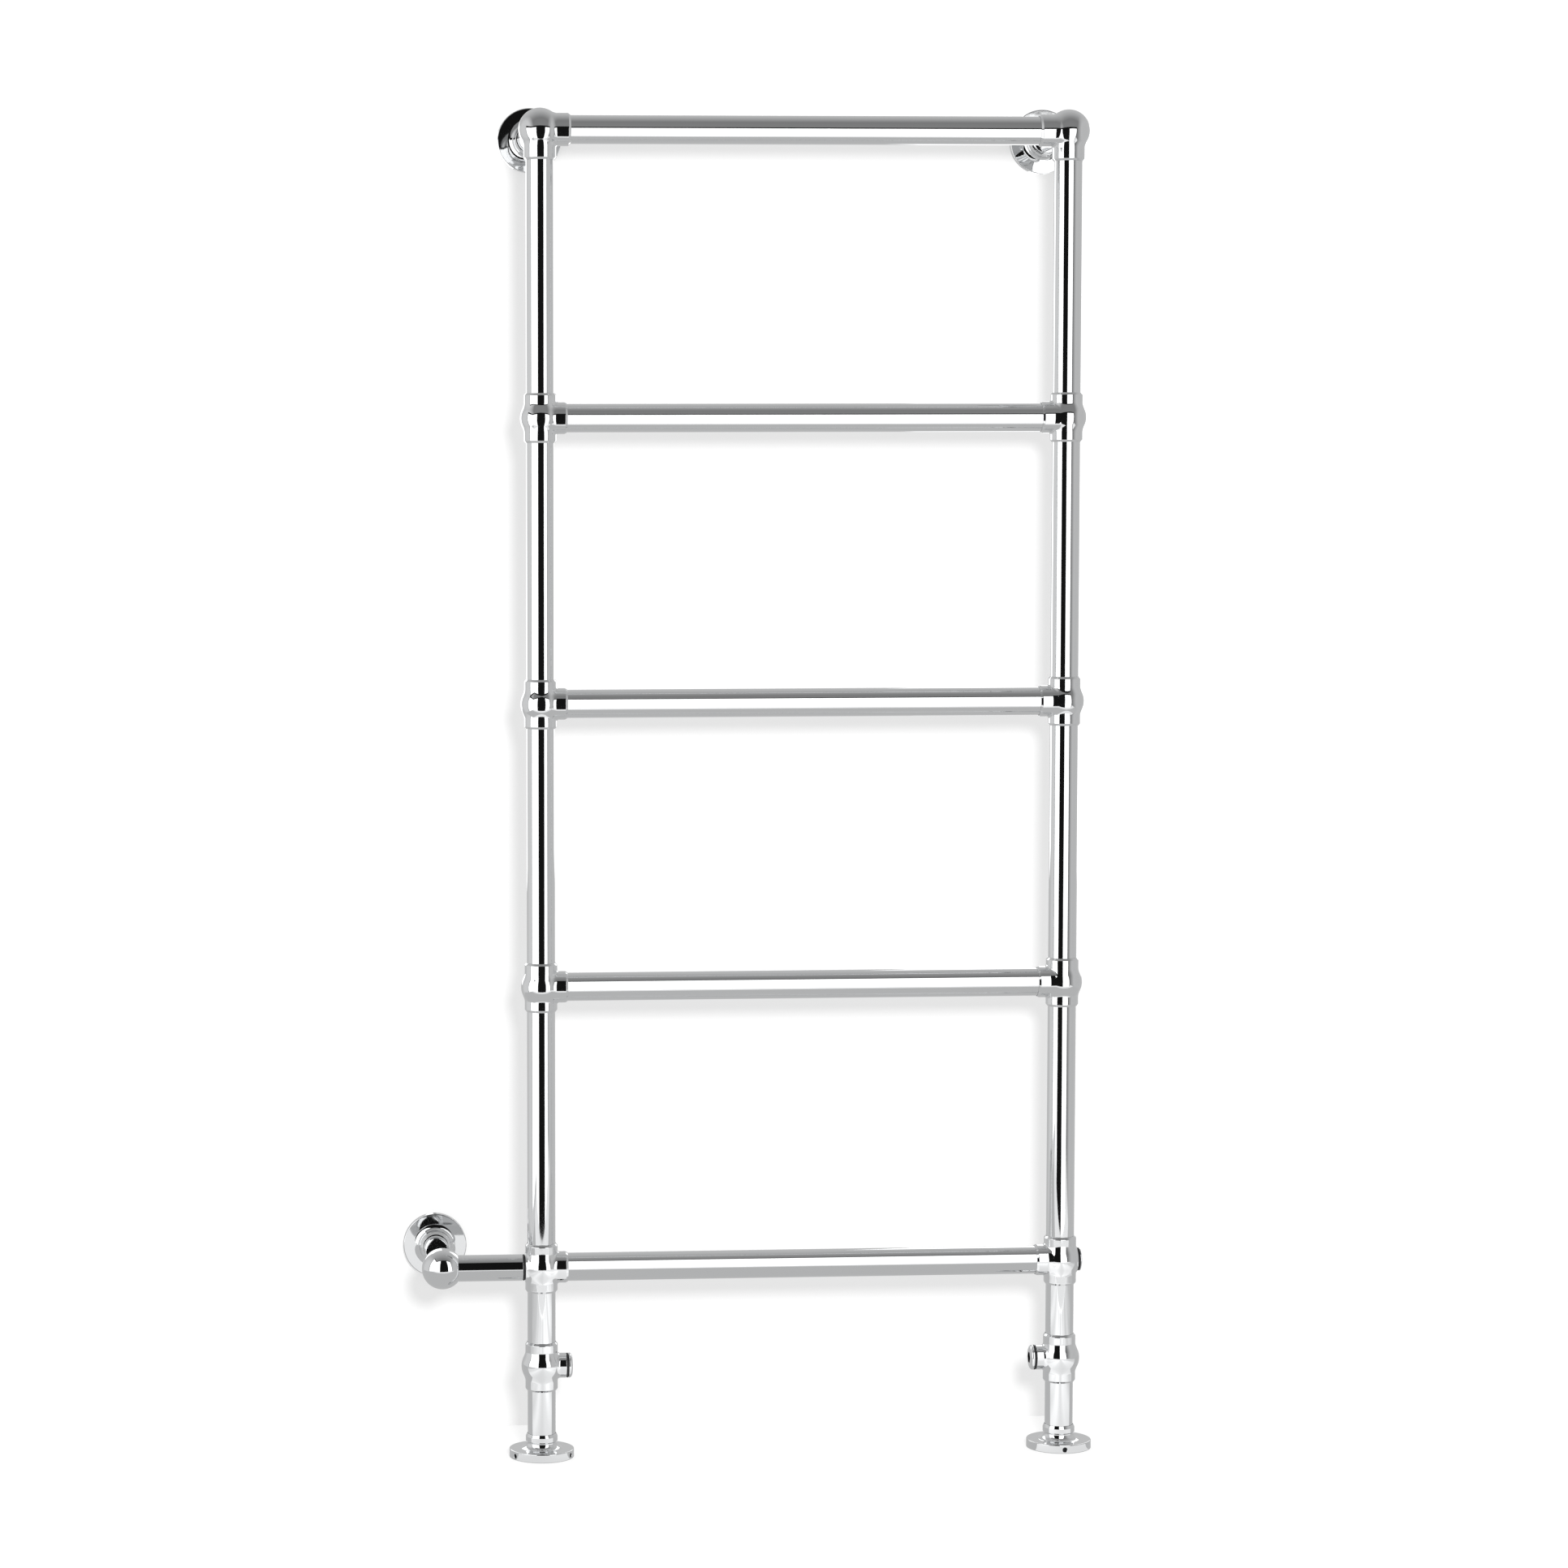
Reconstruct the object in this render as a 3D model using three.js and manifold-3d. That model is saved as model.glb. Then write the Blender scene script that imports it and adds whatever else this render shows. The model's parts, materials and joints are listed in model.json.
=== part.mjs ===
// A floor-standing, ball-jointed ladder radiator with a key-operated valve in each leg.
// Millimetres, +Z up. X runs along the rails, +Y points at the wall, -Y is the front.
// The origin is the bottom centre of the whole object's box.

import * as THREE from "three";
import { mergeVertices } from "three/addons/utils/BufferGeometryUtils.js";
import Module from "manifold-3d";

const wasm = await Module();
wasm.setup();

// Overall sizes
const UPRIGHT_SPACING = 600; // between the centre lines of the two uprights
const RAIL_COUNT = 5;
const RAIL_PITCH = 322.5;
const BOTTOM_RAIL_HEIGHT = 219; // floor to the lowest rail's centre line
const VALVE_HEIGHT = 105; // floor to the valve's centre
const WALL_DISTANCE = 155; // uprights' centre lines to the wall
const ARM_LENGTH = 113.5; // left upright's centre line to the side arm's elbow

// Tubes
const TUBE_RADIUS = 16;
const TUBE_WALL = 1.5;
const ARM_RADIUS = 15; // the side arm's tube is a size smaller
const SEGMENTS = 16; // facets round every turned shape, so that mating facets line up
const BALL_RINGS = 8; // facets from pole to pole of a ball
const HOLE_SEGMENTS = 8; // facets round a screw hole

const RUN_IN = 1; // how far shapes that are joined or cut run into each other
const SIMPLIFY_WITHIN = 0.02; // how far a carved face may move to save facets

// Clearances
const GAP = 0.3; // between pieces that are soldered, screwed or pressed together
const TURNING_GAP = 0.6; // round the pieces that turn
const FLOOR_GAP = 1; // open tube ends stop this far from the floor or the wall

// Ball fittings: sockets that the tubes are pushed into, in collars round a ball
const BORE_RADIUS = TUBE_RADIUS - TUBE_WALL;
const SOCKET_RADIUS = TUBE_RADIUS + GAP;
const SOCKET_DEPTH = 12;
const COLLAR_CHAMFER = 2.4; // length of the bevel at a collar's mouth
const MOUTH_LIP = 0.4; // flat left round the tube at the mouth
const COLLAR_WALL = 2.2;
const BRANCH_WALL = 1.6;
const TEE_BALL_WALL = 6.4; // each ball's wall is measured from a socket
const CORNER_BALL_WALL = 7.9;
const COLLAR_RADIUS = SOCKET_RADIUS + COLLAR_WALL;
const BRANCH_RADIUS = SOCKET_RADIUS + BRANCH_WALL;
const TEE_BALL_RADIUS = SOCKET_RADIUS + TEE_BALL_WALL;
const CORNER_BALL_RADIUS = SOCKET_RADIUS + CORNER_BALL_WALL;

// How far each tube's end stops outside the side of the tube that it crosses
const TEE_STOP = 0.2;
const BRANCH_STOP = 2.1;
const CORNER_STOP = 6.3;
const VALVE_STOP = 0.3;
const reachOf = (stop) => TUBE_RADIUS + stop + SOCKET_DEPTH - GAP;
const TEE_HALF_HEIGHT = reachOf(TEE_STOP);
const TEE_BRANCH_REACH = reachOf(BRANCH_STOP);
const CORNER_REACH = reachOf(CORNER_STOP);

// Side arm's elbow
const ELBOW_BALL_WALL = 8.5;
const ELBOW_BALL_RADIUS = ARM_RADIUS + ELBOW_BALL_WALL;

// Side ports of the two lowest fittings
const SIDE_PORT_WALL = 4.5; // from the fitting's bore to the port's face
const SIDE_PORT_REACH = BORE_RADIUS + SIDE_PORT_WALL;
const SIDE_PORT_LIP = 0.5; // how far the port's face stands out past what closes it
const SHOULDER_WIDTH = 4.5; // step from the arm tube down to its spigot
const SPIGOT_RADIUS = ARM_RADIUS - SHOULDER_WIDTH;
const SPIGOT_LENGTH = 9;
const ORING_THICKNESS = 2.2;
const ORING_WIDTH = 2.6;
const ORING_SLACK = 0.1; // between the plug's O-ring and its spigot
const PLUG_RADIUS = SPIGOT_RADIUS + ORING_SLACK + ORING_WIDTH;
const PLUG_RIM = 1;
const PLUG_DOME = 2.4;

// Leg valves: the key's socket sets the spindle, and that sets the port round it
const KEY_ACROSS_FLATS = 12;
const KEY_DEPTH = 8;
const KEY_WALL = 2.5; // from a flat of the key's socket to the spindle's side
const SPINDLE_RADIUS = KEY_ACROSS_FLATS / 2 + KEY_WALL;
const SPINDLE_TIP_RADIUS = 6;
const SPINDLE_BLADE_DEPTH = 3;
const SPINDLE_BLADE_WIDTH = 4;
const GLAND_WALL = 2.6;
const GLAND_LENGTH = 10;
const VALVE_PORT_WALL = 2.2;
const VALVE_PORT_BORE = SPINDLE_RADIUS + TURNING_GAP + GLAND_WALL + GAP;
const VALVE_PORT_RADIUS = VALVE_PORT_BORE + VALVE_PORT_WALL;
const VALVE_BALL_WALL = 6.7;
const VALVE_BALL_RADIUS = SOCKET_RADIUS + VALVE_BALL_WALL;
const VALVE_HALF_HEIGHT = reachOf(VALVE_STOP);
const VALVE_PORT_LENGTH = 5; // from the ball's side to the port's face
const VALVE_PORT_REACH = VALVE_BALL_RADIUS + VALVE_PORT_LENGTH;
const PLUG_BALL_CLEARANCE = 2; // from the turning ball to the flow bore
const PLUG_BALL_RADIUS = BORE_RADIUS - PLUG_BALL_CLEARANCE;
const PLUG_BALL_BORE = 8;
const SEAT_THICKNESS = 4;
const SEAT_LIP = 3; // how far the sealing face slopes in towards the ball
const CAP_RIM = 1;
const CAP_HEIGHT = 4.4;
const CAP_FACE_LIP = 0.1; // the cap's flat is this much wider than the spindle
const CAP_FACE_RADIUS = SPINDLE_RADIUS + CAP_FACE_LIP;

// Flanges and the fixing plates under them
const FLANGE_RADIUS = 37;
const FLANGE_RIM = 9.7;
const FLANGE_EDGE = 0.9;
const FLANGE_ROOF = 3; // thickness over the fixing plate
const FLANGE_SKIRT = 6.7; // thickness round the fixing plate
const FLARE_WIDTH = 9; // the flare, neck and bead are measured from the tube's side
const FLARE_RADIUS = TUBE_RADIUS + FLARE_WIDTH;
const FLARE_STEPS = 3; // facets along the flare's curve
const NECK_WALL = 1.3;
const NECK_RADIUS = TUBE_RADIUS + NECK_WALL;
const NECK_HEIGHT = 17.4;
const BEAD_WALL = 2.2;
const BEAD_RADIUS = TUBE_RADIUS + BEAD_WALL;
const BEAD_HEIGHT = 9.6;
const PLATE_RADIUS = FLANGE_RADIUS - FLANGE_SKIRT - GAP;
const SET_SCREW_RADIUS = 2.65;
const SET_SCREW_COUNT = 3;
const PLATE_SCREW_RADIUS = 2.4;
const PLATE_SCREW_OUTSET = 0.35; // how far outside the middle of the plate's ring they stand
const PLATE_SCREW_CIRCLE = (SOCKET_RADIUS + PLATE_RADIUS) / 2 + PLATE_SCREW_OUTSET;

// Finishes
const CHROME_TUBE = { color: 0xe4e5e7, metalness: 1, roughness: 0.08 };
const CHROME_CAST = { color: 0xe0e1e3, metalness: 1, roughness: 0.1 };
const CHROME_TURNED = { color: 0xe2e3e5, metalness: 1, roughness: 0.06 };
const RUBBER = { color: 0x141414, metalness: 0, roughness: 0.6 };
const SEAT_PLASTIC = { color: 0xf0efe9, metalness: 0, roughness: 0.5 };
const BRASS = { color: 0xc9a24e, metalness: 1, roughness: 0.3 };
const ZINC_STEEL = { color: 0xb9bcc0, metalness: 1, roughness: 0.4 };

// Heights and places worked out from the sizes above
const HALF_SPACING = UPRIGHT_SPACING / 2;
const PLATE_THICKNESS = FLANGE_RIM - FLANGE_ROOF - GAP;
const TOP_RAIL_HEIGHT = BOTTOM_RAIL_HEIGHT + (RAIL_COUNT - 1) * RAIL_PITCH;
const ELBOW_X = -HALF_SPACING - ARM_LENGTH;
const ORING_FACE = SIDE_PORT_REACH + GAP;
const PORT_NEXT_FACE = ORING_FACE + ORING_THICKNESS + GAP;
const railHeight = (i) => BOTTOM_RAIL_HEIGHT + i * RAIL_PITCH;

// A turned solid about +Z from [radius, height] points that start and end on the axis
// or, with closed set, run round a ring and join up.
function turned(points, closed = false) {
  const outline = points.map(([r, z]) => new THREE.Vector2(r, z));
  if (closed) outline.push(outline[0].clone());
  return new THREE.LatheGeometry(outline, SEGMENTS).rotateX(Math.PI / 2);
}

const rod = (radius, from, to) =>
  turned([
    [0, from],
    [radius, from],
    [radius, to],
    [0, to],
  ]);

const ring = (inner, outer, from, to) =>
  turned(
    [
      [inner, from],
      [outer, from],
      [outer, to],
      [inner, to],
    ],
    true,
  );

function ball(radius) {
  return new THREE.SphereGeometry(radius, SEGMENTS, BALL_RINGS).rotateX(Math.PI / 2);
}

// Turns a shape made about +Z so that it points along the named direction.
const TURNS = {
  up: (g) => g,
  down: (g) => g.rotateX(Math.PI),
  right: (g) => g.rotateY(Math.PI / 2),
  left: (g) => g.rotateY(-Math.PI / 2),
  back: (g) => g.rotateX(-Math.PI / 2),
};

function toSolid(geometry) {
  const bare = geometry.clone();
  bare.deleteAttribute("normal");
  bare.deleteAttribute("uv");
  const merged = mergeVertices(bare, 1e-4);
  return new wasm.Manifold(
    new wasm.Mesh({
      numProp: 3,
      vertProperties: new Float32Array(merged.attributes.position.array),
      triVerts: new Uint32Array(merged.index.array),
    }),
  );
}

function toGeometry(solid) {
  const mesh = solid.getMesh();
  const geometry = new THREE.BufferGeometry();
  geometry.setAttribute("position", new THREE.BufferAttribute(mesh.vertProperties, 3));
  geometry.setIndex(new THREE.BufferAttribute(mesh.triVerts, 1));
  geometry.computeVertexNormals();
  return geometry;
}

// Joins the first list of shapes and cuts the second list out of them.
function carve(joined, cuts) {
  const body = joined.map(toSolid).reduce((a, b) => a.add(b));
  const cut = cuts.map(toSolid).reduce((a, b) => a.subtract(b), body);
  return toGeometry(cut.asOriginal().simplify(SIMPLIFY_WITHIN));
}

const assembly = new THREE.Group();
const model = new THREE.Group();
model.add(assembly);

function piece(name, geometry, finish, place) {
  const mesh = new THREE.Mesh(geometry, new THREE.MeshStandardMaterial(finish));
  mesh.name = name;
  mesh.position.set(...place);
  assembly.add(mesh);
}

// A collar with a chamfered mouth, out to its reach along +Z.
const collar = (radius, reach) =>
  turned([
    [0, -RUN_IN],
    [radius, -RUN_IN],
    [radius, reach - COLLAR_CHAMFER],
    [SOCKET_RADIUS + MOUTH_LIP, reach],
    [0, reach],
  ]);

// The flow bore and the tube's socket, cut out of a collar.
const socket = (reach) =>
  turned([
    [0, -RUN_IN],
    [BORE_RADIUS, -RUN_IN],
    [BORE_RADIUS, reach - SOCKET_DEPTH],
    [SOCKET_RADIUS, reach - SOCKET_DEPTH],
    [SOCKET_RADIUS, reach + RUN_IN],
    [0, reach + RUN_IN],
  ]);

// A hollow ball with a socketed collar for each port: { way, radius, reach }.
function ballFitting(radius, ports, extraJoins = [], extraCuts = []) {
  return carve(
    [ball(radius), ...ports.map((p) => TURNS[p.way](collar(p.radius, p.reach))), ...extraJoins],
    [...ports.map((p) => TURNS[p.way](socket(p.reach))), ...extraCuts],
  );
}

// How far a tube's end stands from the centre of the fitting that it is pushed into.
const seatOf = (reach) => reach - SOCKET_DEPTH + GAP;

const tube = (radius, length) => ring(radius - TUBE_WALL, radius, 0, length);

function upAndDown(halfHeight) {
  return ["up", "down"].map((way) => ({ way, radius: COLLAR_RADIUS, reach: halfHeight }));
}

// Rails
function addRails() {
  for (let i = 0; i < RAIL_COUNT; i++) {
    const reach = i === RAIL_COUNT - 1 ? CORNER_REACH : TEE_BRANCH_REACH;
    const start = -HALF_SPACING + seatOf(reach);
    const rail = TURNS.right(tube(TUBE_RADIUS, -2 * start));
    piece(`rail_${i + 1}`, rail, CHROME_TUBE, [start, 0, railHeight(i)]);
  }
}

// Uprights, cut between the ball fittings
function addUpright(side, x, inward) {
  for (let i = 0; i < RAIL_COUNT - 1; i++) {
    const below = railHeight(i) + seatOf(TEE_HALF_HEIGHT);
    const topReach = i === RAIL_COUNT - 2 ? CORNER_REACH : TEE_HALF_HEIGHT;
    const above = railHeight(i + 1) - seatOf(topReach);
    piece(`upright_${side}_${i + 1}`, tube(TUBE_RADIUS, above - below), CHROME_TUBE, [x, 0, below]);
  }
  for (let i = 1; i < RAIL_COUNT - 1; i++) {
    const branch = { way: inward, radius: BRANCH_RADIUS, reach: TEE_BRANCH_REACH };
    const tee = ballFitting(TEE_BALL_RADIUS, [...upAndDown(TEE_HALF_HEIGHT), branch]);
    piece(`tee_${side}_${i + 1}`, tee, CHROME_CAST, [x, 0, railHeight(i)]);
  }
  const cornerPorts = ["down", inward, "back"].map((way) => ({
    way,
    radius: COLLAR_RADIUS,
    reach: CORNER_REACH,
  }));
  const corner = ballFitting(CORNER_BALL_RADIUS, cornerPorts);
  piece(`corner_ball_${side}`, corner, CHROME_CAST, [x, 0, TOP_RAIL_HEIGHT]);
}

// The lowest fitting: a tee with a further port that faces away from the rails
function addLowerFitting(side, x, inward, outward, closureRadius) {
  const branch = { way: inward, radius: BRANCH_RADIUS, reach: TEE_BRANCH_REACH };
  const past = TEE_BALL_RADIUS + RUN_IN;
  const boss = TURNS[outward](rod(closureRadius + SIDE_PORT_LIP, 0, TEE_BALL_RADIUS));
  const portBore = TURNS[outward](rod(SPIGOT_RADIUS + GAP, 0, past));
  const spotFace = TURNS[outward](rod(TEE_BALL_RADIUS, SIDE_PORT_REACH, past));
  const ports = [...upAndDown(TEE_HALF_HEIGHT), branch];
  const body = ballFitting(TEE_BALL_RADIUS, ports, [boss], [portBore, spotFace]);
  piece(`lower_ball_${side}`, body, CHROME_CAST, [x, 0, BOTTOM_RAIL_HEIGHT]);
}

const oring = (outer) =>
  ring(outer - ORING_WIDTH, outer, GAP, GAP + ORING_THICKNESS);

// Plug that closes the right side port: a domed head on a spigot, with its seal
function addBlankPlug() {
  const face = [HALF_SPACING + SIDE_PORT_REACH, 0, BOTTOM_RAIL_HEIGHT];
  const head = PORT_NEXT_FACE - SIDE_PORT_REACH;
  const plug = turned([
    [0, -SPIGOT_LENGTH],
    [SPIGOT_RADIUS, -SPIGOT_LENGTH],
    [SPIGOT_RADIUS, head],
    [PLUG_RADIUS, head],
    [PLUG_RADIUS, head + PLUG_RIM],
    [PLUG_RADIUS * 0.72, head + PLUG_RIM + PLUG_DOME * 0.65],
    [PLUG_RADIUS * 0.36, head + PLUG_RIM + PLUG_DOME * 0.93],
    [0, head + PLUG_RIM + PLUG_DOME],
  ]);
  piece("side_port_plug", TURNS.right(plug), CHROME_TURNED, face);
  piece("plug_oring", TURNS.right(oring(PLUG_RADIUS)), RUBBER, face);
}

// Side arm: tube, ball elbow and the tube that goes on to the wall
function addSideArm() {
  const elbowSeat = ARM_RADIUS + GAP;
  const spigotBore = SPIGOT_RADIUS - TUBE_WALL;
  const armBore = ARM_RADIUS - TUBE_WALL;
  const shoulder = PORT_NEXT_FACE - SIDE_PORT_REACH;
  const farEnd = ARM_LENGTH - elbowSeat - SIDE_PORT_REACH;
  const arm = turned(
    [
      [spigotBore, -SPIGOT_LENGTH],
      [SPIGOT_RADIUS, -SPIGOT_LENGTH],
      [SPIGOT_RADIUS, shoulder],
      [ARM_RADIUS, shoulder],
      [ARM_RADIUS, farEnd],
      [armBore, farEnd],
      [armBore, shoulder + TUBE_WALL],
      [spigotBore, shoulder + TUBE_WALL],
    ],
    true,
  );
  const portFace = [-HALF_SPACING - SIDE_PORT_REACH, 0, BOTTOM_RAIL_HEIGHT];
  piece("arm_tube", TURNS.left(arm), CHROME_TUBE, portFace);
  piece("arm_oring", TURNS.left(oring(ARM_RADIUS)), RUBBER, portFace);

  const elbowBores = ["right", "back"].flatMap((way) => [
    TURNS[way](rod(ARM_RADIUS + GAP, elbowSeat - GAP, ELBOW_BALL_RADIUS)),
    TURNS[way](rod(armBore - TUBE_WALL, 0, ELBOW_BALL_RADIUS)),
  ]);
  const elbow = carve([ball(ELBOW_BALL_RADIUS)], elbowBores);
  piece("arm_elbow_ball", elbow, CHROME_CAST, [ELBOW_X, 0, BOTTOM_RAIL_HEIGHT]);

  const toWall = tube(ARM_RADIUS, WALL_DISTANCE - FLOOR_GAP - elbowSeat);
  const start = [ELBOW_X, elbowSeat, BOTTOM_RAIL_HEIGHT];
  piece("arm_wall_tube", TURNS.back(toWall), CHROME_TUBE, start);
}

// Valve in each leg
const CAP_FACE = VALVE_PORT_REACH + GAP + ORING_THICKNESS + GAP;

function valveBody(inward) {
  const stub = TURNS[inward](rod(VALVE_PORT_RADIUS, 0, VALVE_PORT_REACH));
  const bore = TURNS[inward](rod(VALVE_PORT_BORE, 0, VALVE_PORT_REACH + RUN_IN));
  return ballFitting(VALVE_BALL_RADIUS, upAndDown(VALVE_HALF_HEIGHT), [stub], [bore]);
}

const SLOT_FLOOR = PLUG_BALL_RADIUS - SPINDLE_BLADE_DEPTH;

function valveBall(inward) {
  const slotWidth = SPINDLE_BLADE_WIDTH + TURNING_GAP;
  const slot = new THREE.BoxGeometry(slotWidth, 2 * PLUG_BALL_RADIUS, 2 * SPINDLE_BLADE_DEPTH);
  slot.translate(0, 0, SLOT_FLOOR + SPINDLE_BLADE_DEPTH);
  const flow = rod(PLUG_BALL_BORE, -PLUG_BALL_RADIUS, PLUG_BALL_RADIUS);
  return carve([ball(PLUG_BALL_RADIUS)], [flow, TURNS[inward](slot)]);
}

// Ring that the ball turns against, with its sealing face towards the ball
function valveSeat() {
  const outer = BORE_RADIUS - GAP;
  const touch = Math.sqrt(PLUG_BALL_RADIUS ** 2 - PLUG_BALL_BORE ** 2) + TURNING_GAP;
  return turned(
    [
      [PLUG_BALL_BORE, touch],
      [outer, touch - SEAT_LIP],
      [outer, touch + SEAT_THICKNESS],
      [PLUG_BALL_BORE, touch + SEAT_THICKNESS],
    ],
    true,
  );
}

// Spindle: a domed cap with the key's hexagon, a stem and a blade that turns the ball
function valveSpindle() {
  const stemEnd = PLUG_BALL_RADIUS + TURNING_GAP;
  const top = CAP_FACE + CAP_HEIGHT;
  const stemStart = BORE_RADIUS + TURNING_GAP;
  const body = turned([
    [0, stemEnd],
    [SPINDLE_TIP_RADIUS, stemEnd],
    [SPINDLE_TIP_RADIUS, stemStart],
    [SPINDLE_RADIUS, stemStart],
    [SPINDLE_RADIUS, CAP_FACE],
    [VALVE_PORT_RADIUS, CAP_FACE],
    [VALVE_PORT_RADIUS, CAP_FACE + CAP_RIM],
    [VALVE_PORT_RADIUS * 0.92, CAP_FACE + CAP_HEIGHT * 0.55],
    [CAP_FACE_RADIUS, top],
    [0, top],
  ]);
  const bladeBottom = SLOT_FLOOR + TURNING_GAP / 2;
  const bladeLength = stemEnd - bladeBottom + RUN_IN;
  const bladeSpan = Math.sqrt((2 * SPINDLE_TIP_RADIUS) ** 2 - SPINDLE_BLADE_WIDTH ** 2);
  const blade = new THREE.BoxGeometry(SPINDLE_BLADE_WIDTH, bladeSpan, bladeLength);
  blade.translate(0, 0, bladeBottom + bladeLength / 2);
  const cornerRadius = KEY_ACROSS_FLATS / Math.sqrt(3);
  const key = new THREE.CylinderGeometry(cornerRadius, cornerRadius, 2 * KEY_DEPTH, 6);
  key.rotateX(Math.PI / 2).translate(0, 0, top);
  return carve([body, blade], [key]);
}

function addValve(side, x, inward) {
  const centre = [x, 0, VALVE_HEIGHT];
  const sign = inward === "right" ? 1 : -1;
  const face = [x + sign * VALVE_PORT_REACH, 0, VALVE_HEIGHT];
  piece(`valve_body_${side}`, valveBody(inward), CHROME_CAST, centre);
  piece(`valve_ball_${side}`, valveBall(inward), CHROME_TURNED, centre);
  piece(`valve_seat_upper_${side}`, valveSeat(), SEAT_PLASTIC, centre);
  piece(`valve_seat_lower_${side}`, TURNS.down(valveSeat()), SEAT_PLASTIC, centre);
  piece(`valve_spindle_${side}`, TURNS[inward](valveSpindle()), CHROME_TURNED, centre);
  piece(`valve_oring_${side}`, TURNS[inward](oring(VALVE_PORT_RADIUS)), RUBBER, face);
  const glandEnd = VALVE_PORT_REACH - GAP;
  const gland = ring(
    SPINDLE_RADIUS + TURNING_GAP,
    VALVE_PORT_BORE - GAP,
    glandEnd - GLAND_LENGTH,
    glandEnd,
  );
  piece(`valve_gland_${side}`, TURNS[inward](gland), BRASS, centre);
}

// The leg's two tubes: lowest fitting to valve, and valve to floor
function addLeg(side, x) {
  const upperStart = VALVE_HEIGHT + seatOf(VALVE_HALF_HEIGHT);
  const upperEnd = BOTTOM_RAIL_HEIGHT - seatOf(TEE_HALF_HEIGHT);
  const upper = tube(TUBE_RADIUS, upperEnd - upperStart);
  piece(`leg_upper_${side}`, upper, CHROME_TUBE, [x, 0, upperStart]);
  const lower = tube(TUBE_RADIUS, VALVE_HEIGHT - seatOf(VALVE_HALF_HEIGHT) - FLOOR_GAP);
  piece(`leg_lower_${side}`, lower, CHROME_TUBE, [x, 0, FLOOR_GAP]);
}

// Turned flange: rim, flat, concave flare and a rounded bead, hollow for its fixing plate
function flange(tubeRadius, firstScrew) {
  const bore = tubeRadius + GAP;
  const recess = PLATE_THICKNESS + GAP;
  const outline = [
    [bore, recess],
    [PLATE_RADIUS + GAP, recess],
    [PLATE_RADIUS + GAP, 0],
    [FLANGE_RADIUS, 0],
    [FLANGE_RADIUS, FLANGE_RIM - FLANGE_EDGE],
    [FLANGE_RADIUS - FLANGE_EDGE, FLANGE_RIM],
  ];
  for (let i = 0; i <= FLARE_STEPS; i++) {
    const turn = ((i / FLARE_STEPS) * Math.PI) / 2;
    const r = FLARE_RADIUS - (FLARE_RADIUS - NECK_RADIUS) * Math.sin(turn);
    const z = FLANGE_RIM + (NECK_HEIGHT - FLANGE_RIM) * (1 - Math.cos(turn));
    outline.push([r, z]);
  }
  outline.push(
    [BEAD_RADIUS, NECK_HEIGHT + BEAD_HEIGHT * 0.25],
    [BEAD_RADIUS, NECK_HEIGHT + BEAD_HEIGHT * 0.7],
    [bore, NECK_HEIGHT + BEAD_HEIGHT],
  );
  const screwHeight = (PLATE_THICKNESS + FLANGE_RIM) / 4 + GAP;
  const holes = [];
  for (let i = 0; i < SET_SCREW_COUNT; i++) {
    const hole = new THREE.CylinderGeometry(
      SET_SCREW_RADIUS,
      SET_SCREW_RADIUS,
      FLANGE_RADIUS - PLATE_RADIUS + 2 * RUN_IN,
      HOLE_SEGMENTS,
    );
    hole.translate(0, (FLANGE_RADIUS + PLATE_RADIUS) / 2, screwHeight);
    hole.rotateZ(firstScrew + (i / SET_SCREW_COUNT) * 2 * Math.PI);
    holes.push(hole);
  }
  return carve([turned(outline, true)], holes);
}

// Fixing plate, screwed to the floor or wall inside its flange
function fixingPlate(tubeRadius) {
  const holes = [];
  for (let i = 0; i < SET_SCREW_COUNT; i++) {
    const hole = new THREE.CylinderGeometry(
      PLATE_SCREW_RADIUS,
      PLATE_SCREW_RADIUS,
      2 * PLATE_THICKNESS,
      HOLE_SEGMENTS,
    );
    hole.rotateX(Math.PI / 2);
    hole.translate(0, PLATE_SCREW_CIRCLE, PLATE_THICKNESS / 2);
    hole.rotateZ(Math.PI / SET_SCREW_COUNT + (i / SET_SCREW_COUNT) * 2 * Math.PI);
    holes.push(hole);
  }
  return carve([ring(tubeRadius + GAP, PLATE_RADIUS, 0, PLATE_THICKNESS)], holes);
}

function addFlange(place, where, tubeRadius, firstScrew, turn) {
  piece(`flange_${place}`, turn(flange(tubeRadius, firstScrew)), CHROME_TURNED, where);
  piece(`fixing_plate_${place}`, turn(fixingPlate(tubeRadius)), ZINC_STEEL, where);
}

const facingFront = (g) => g.rotateX(Math.PI / 2);

function addWallStay(side, x) {
  const start = seatOf(CORNER_REACH);
  const stay = tube(TUBE_RADIUS, WALL_DISTANCE - FLOOR_GAP - start);
  piece(`wall_stay_${side}`, TURNS.back(stay), CHROME_TUBE, [x, start, TOP_RAIL_HEIGHT]);
  const onWall = [x, WALL_DISTANCE, TOP_RAIL_HEIGHT];
  addFlange(`wall_${side}`, onWall, TUBE_RADIUS, Math.PI, facingFront);
}

addRails();
addLowerFitting("left", -HALF_SPACING, "right", "left", ARM_RADIUS);
addLowerFitting("right", HALF_SPACING, "left", "right", PLUG_RADIUS);
for (const [side, x, inward, firstScrew] of [
  ["left", -HALF_SPACING, "right", 0],
  ["right", HALF_SPACING, "left", Math.PI],
]) {
  addUpright(side, x, inward);
  addLeg(side, x);
  addValve(side, x, inward);
  addFlange(`floor_${side}`, [x, 0, 0], TUBE_RADIUS, firstScrew, TURNS.up);
  addWallStay(side, x);
}
addBlankPlug();
addSideArm();
addFlange("wall_arm", [ELBOW_X, WALL_DISTANCE, BOTTOM_RAIL_HEIGHT], ARM_RADIUS, 0, facingFront);

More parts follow.
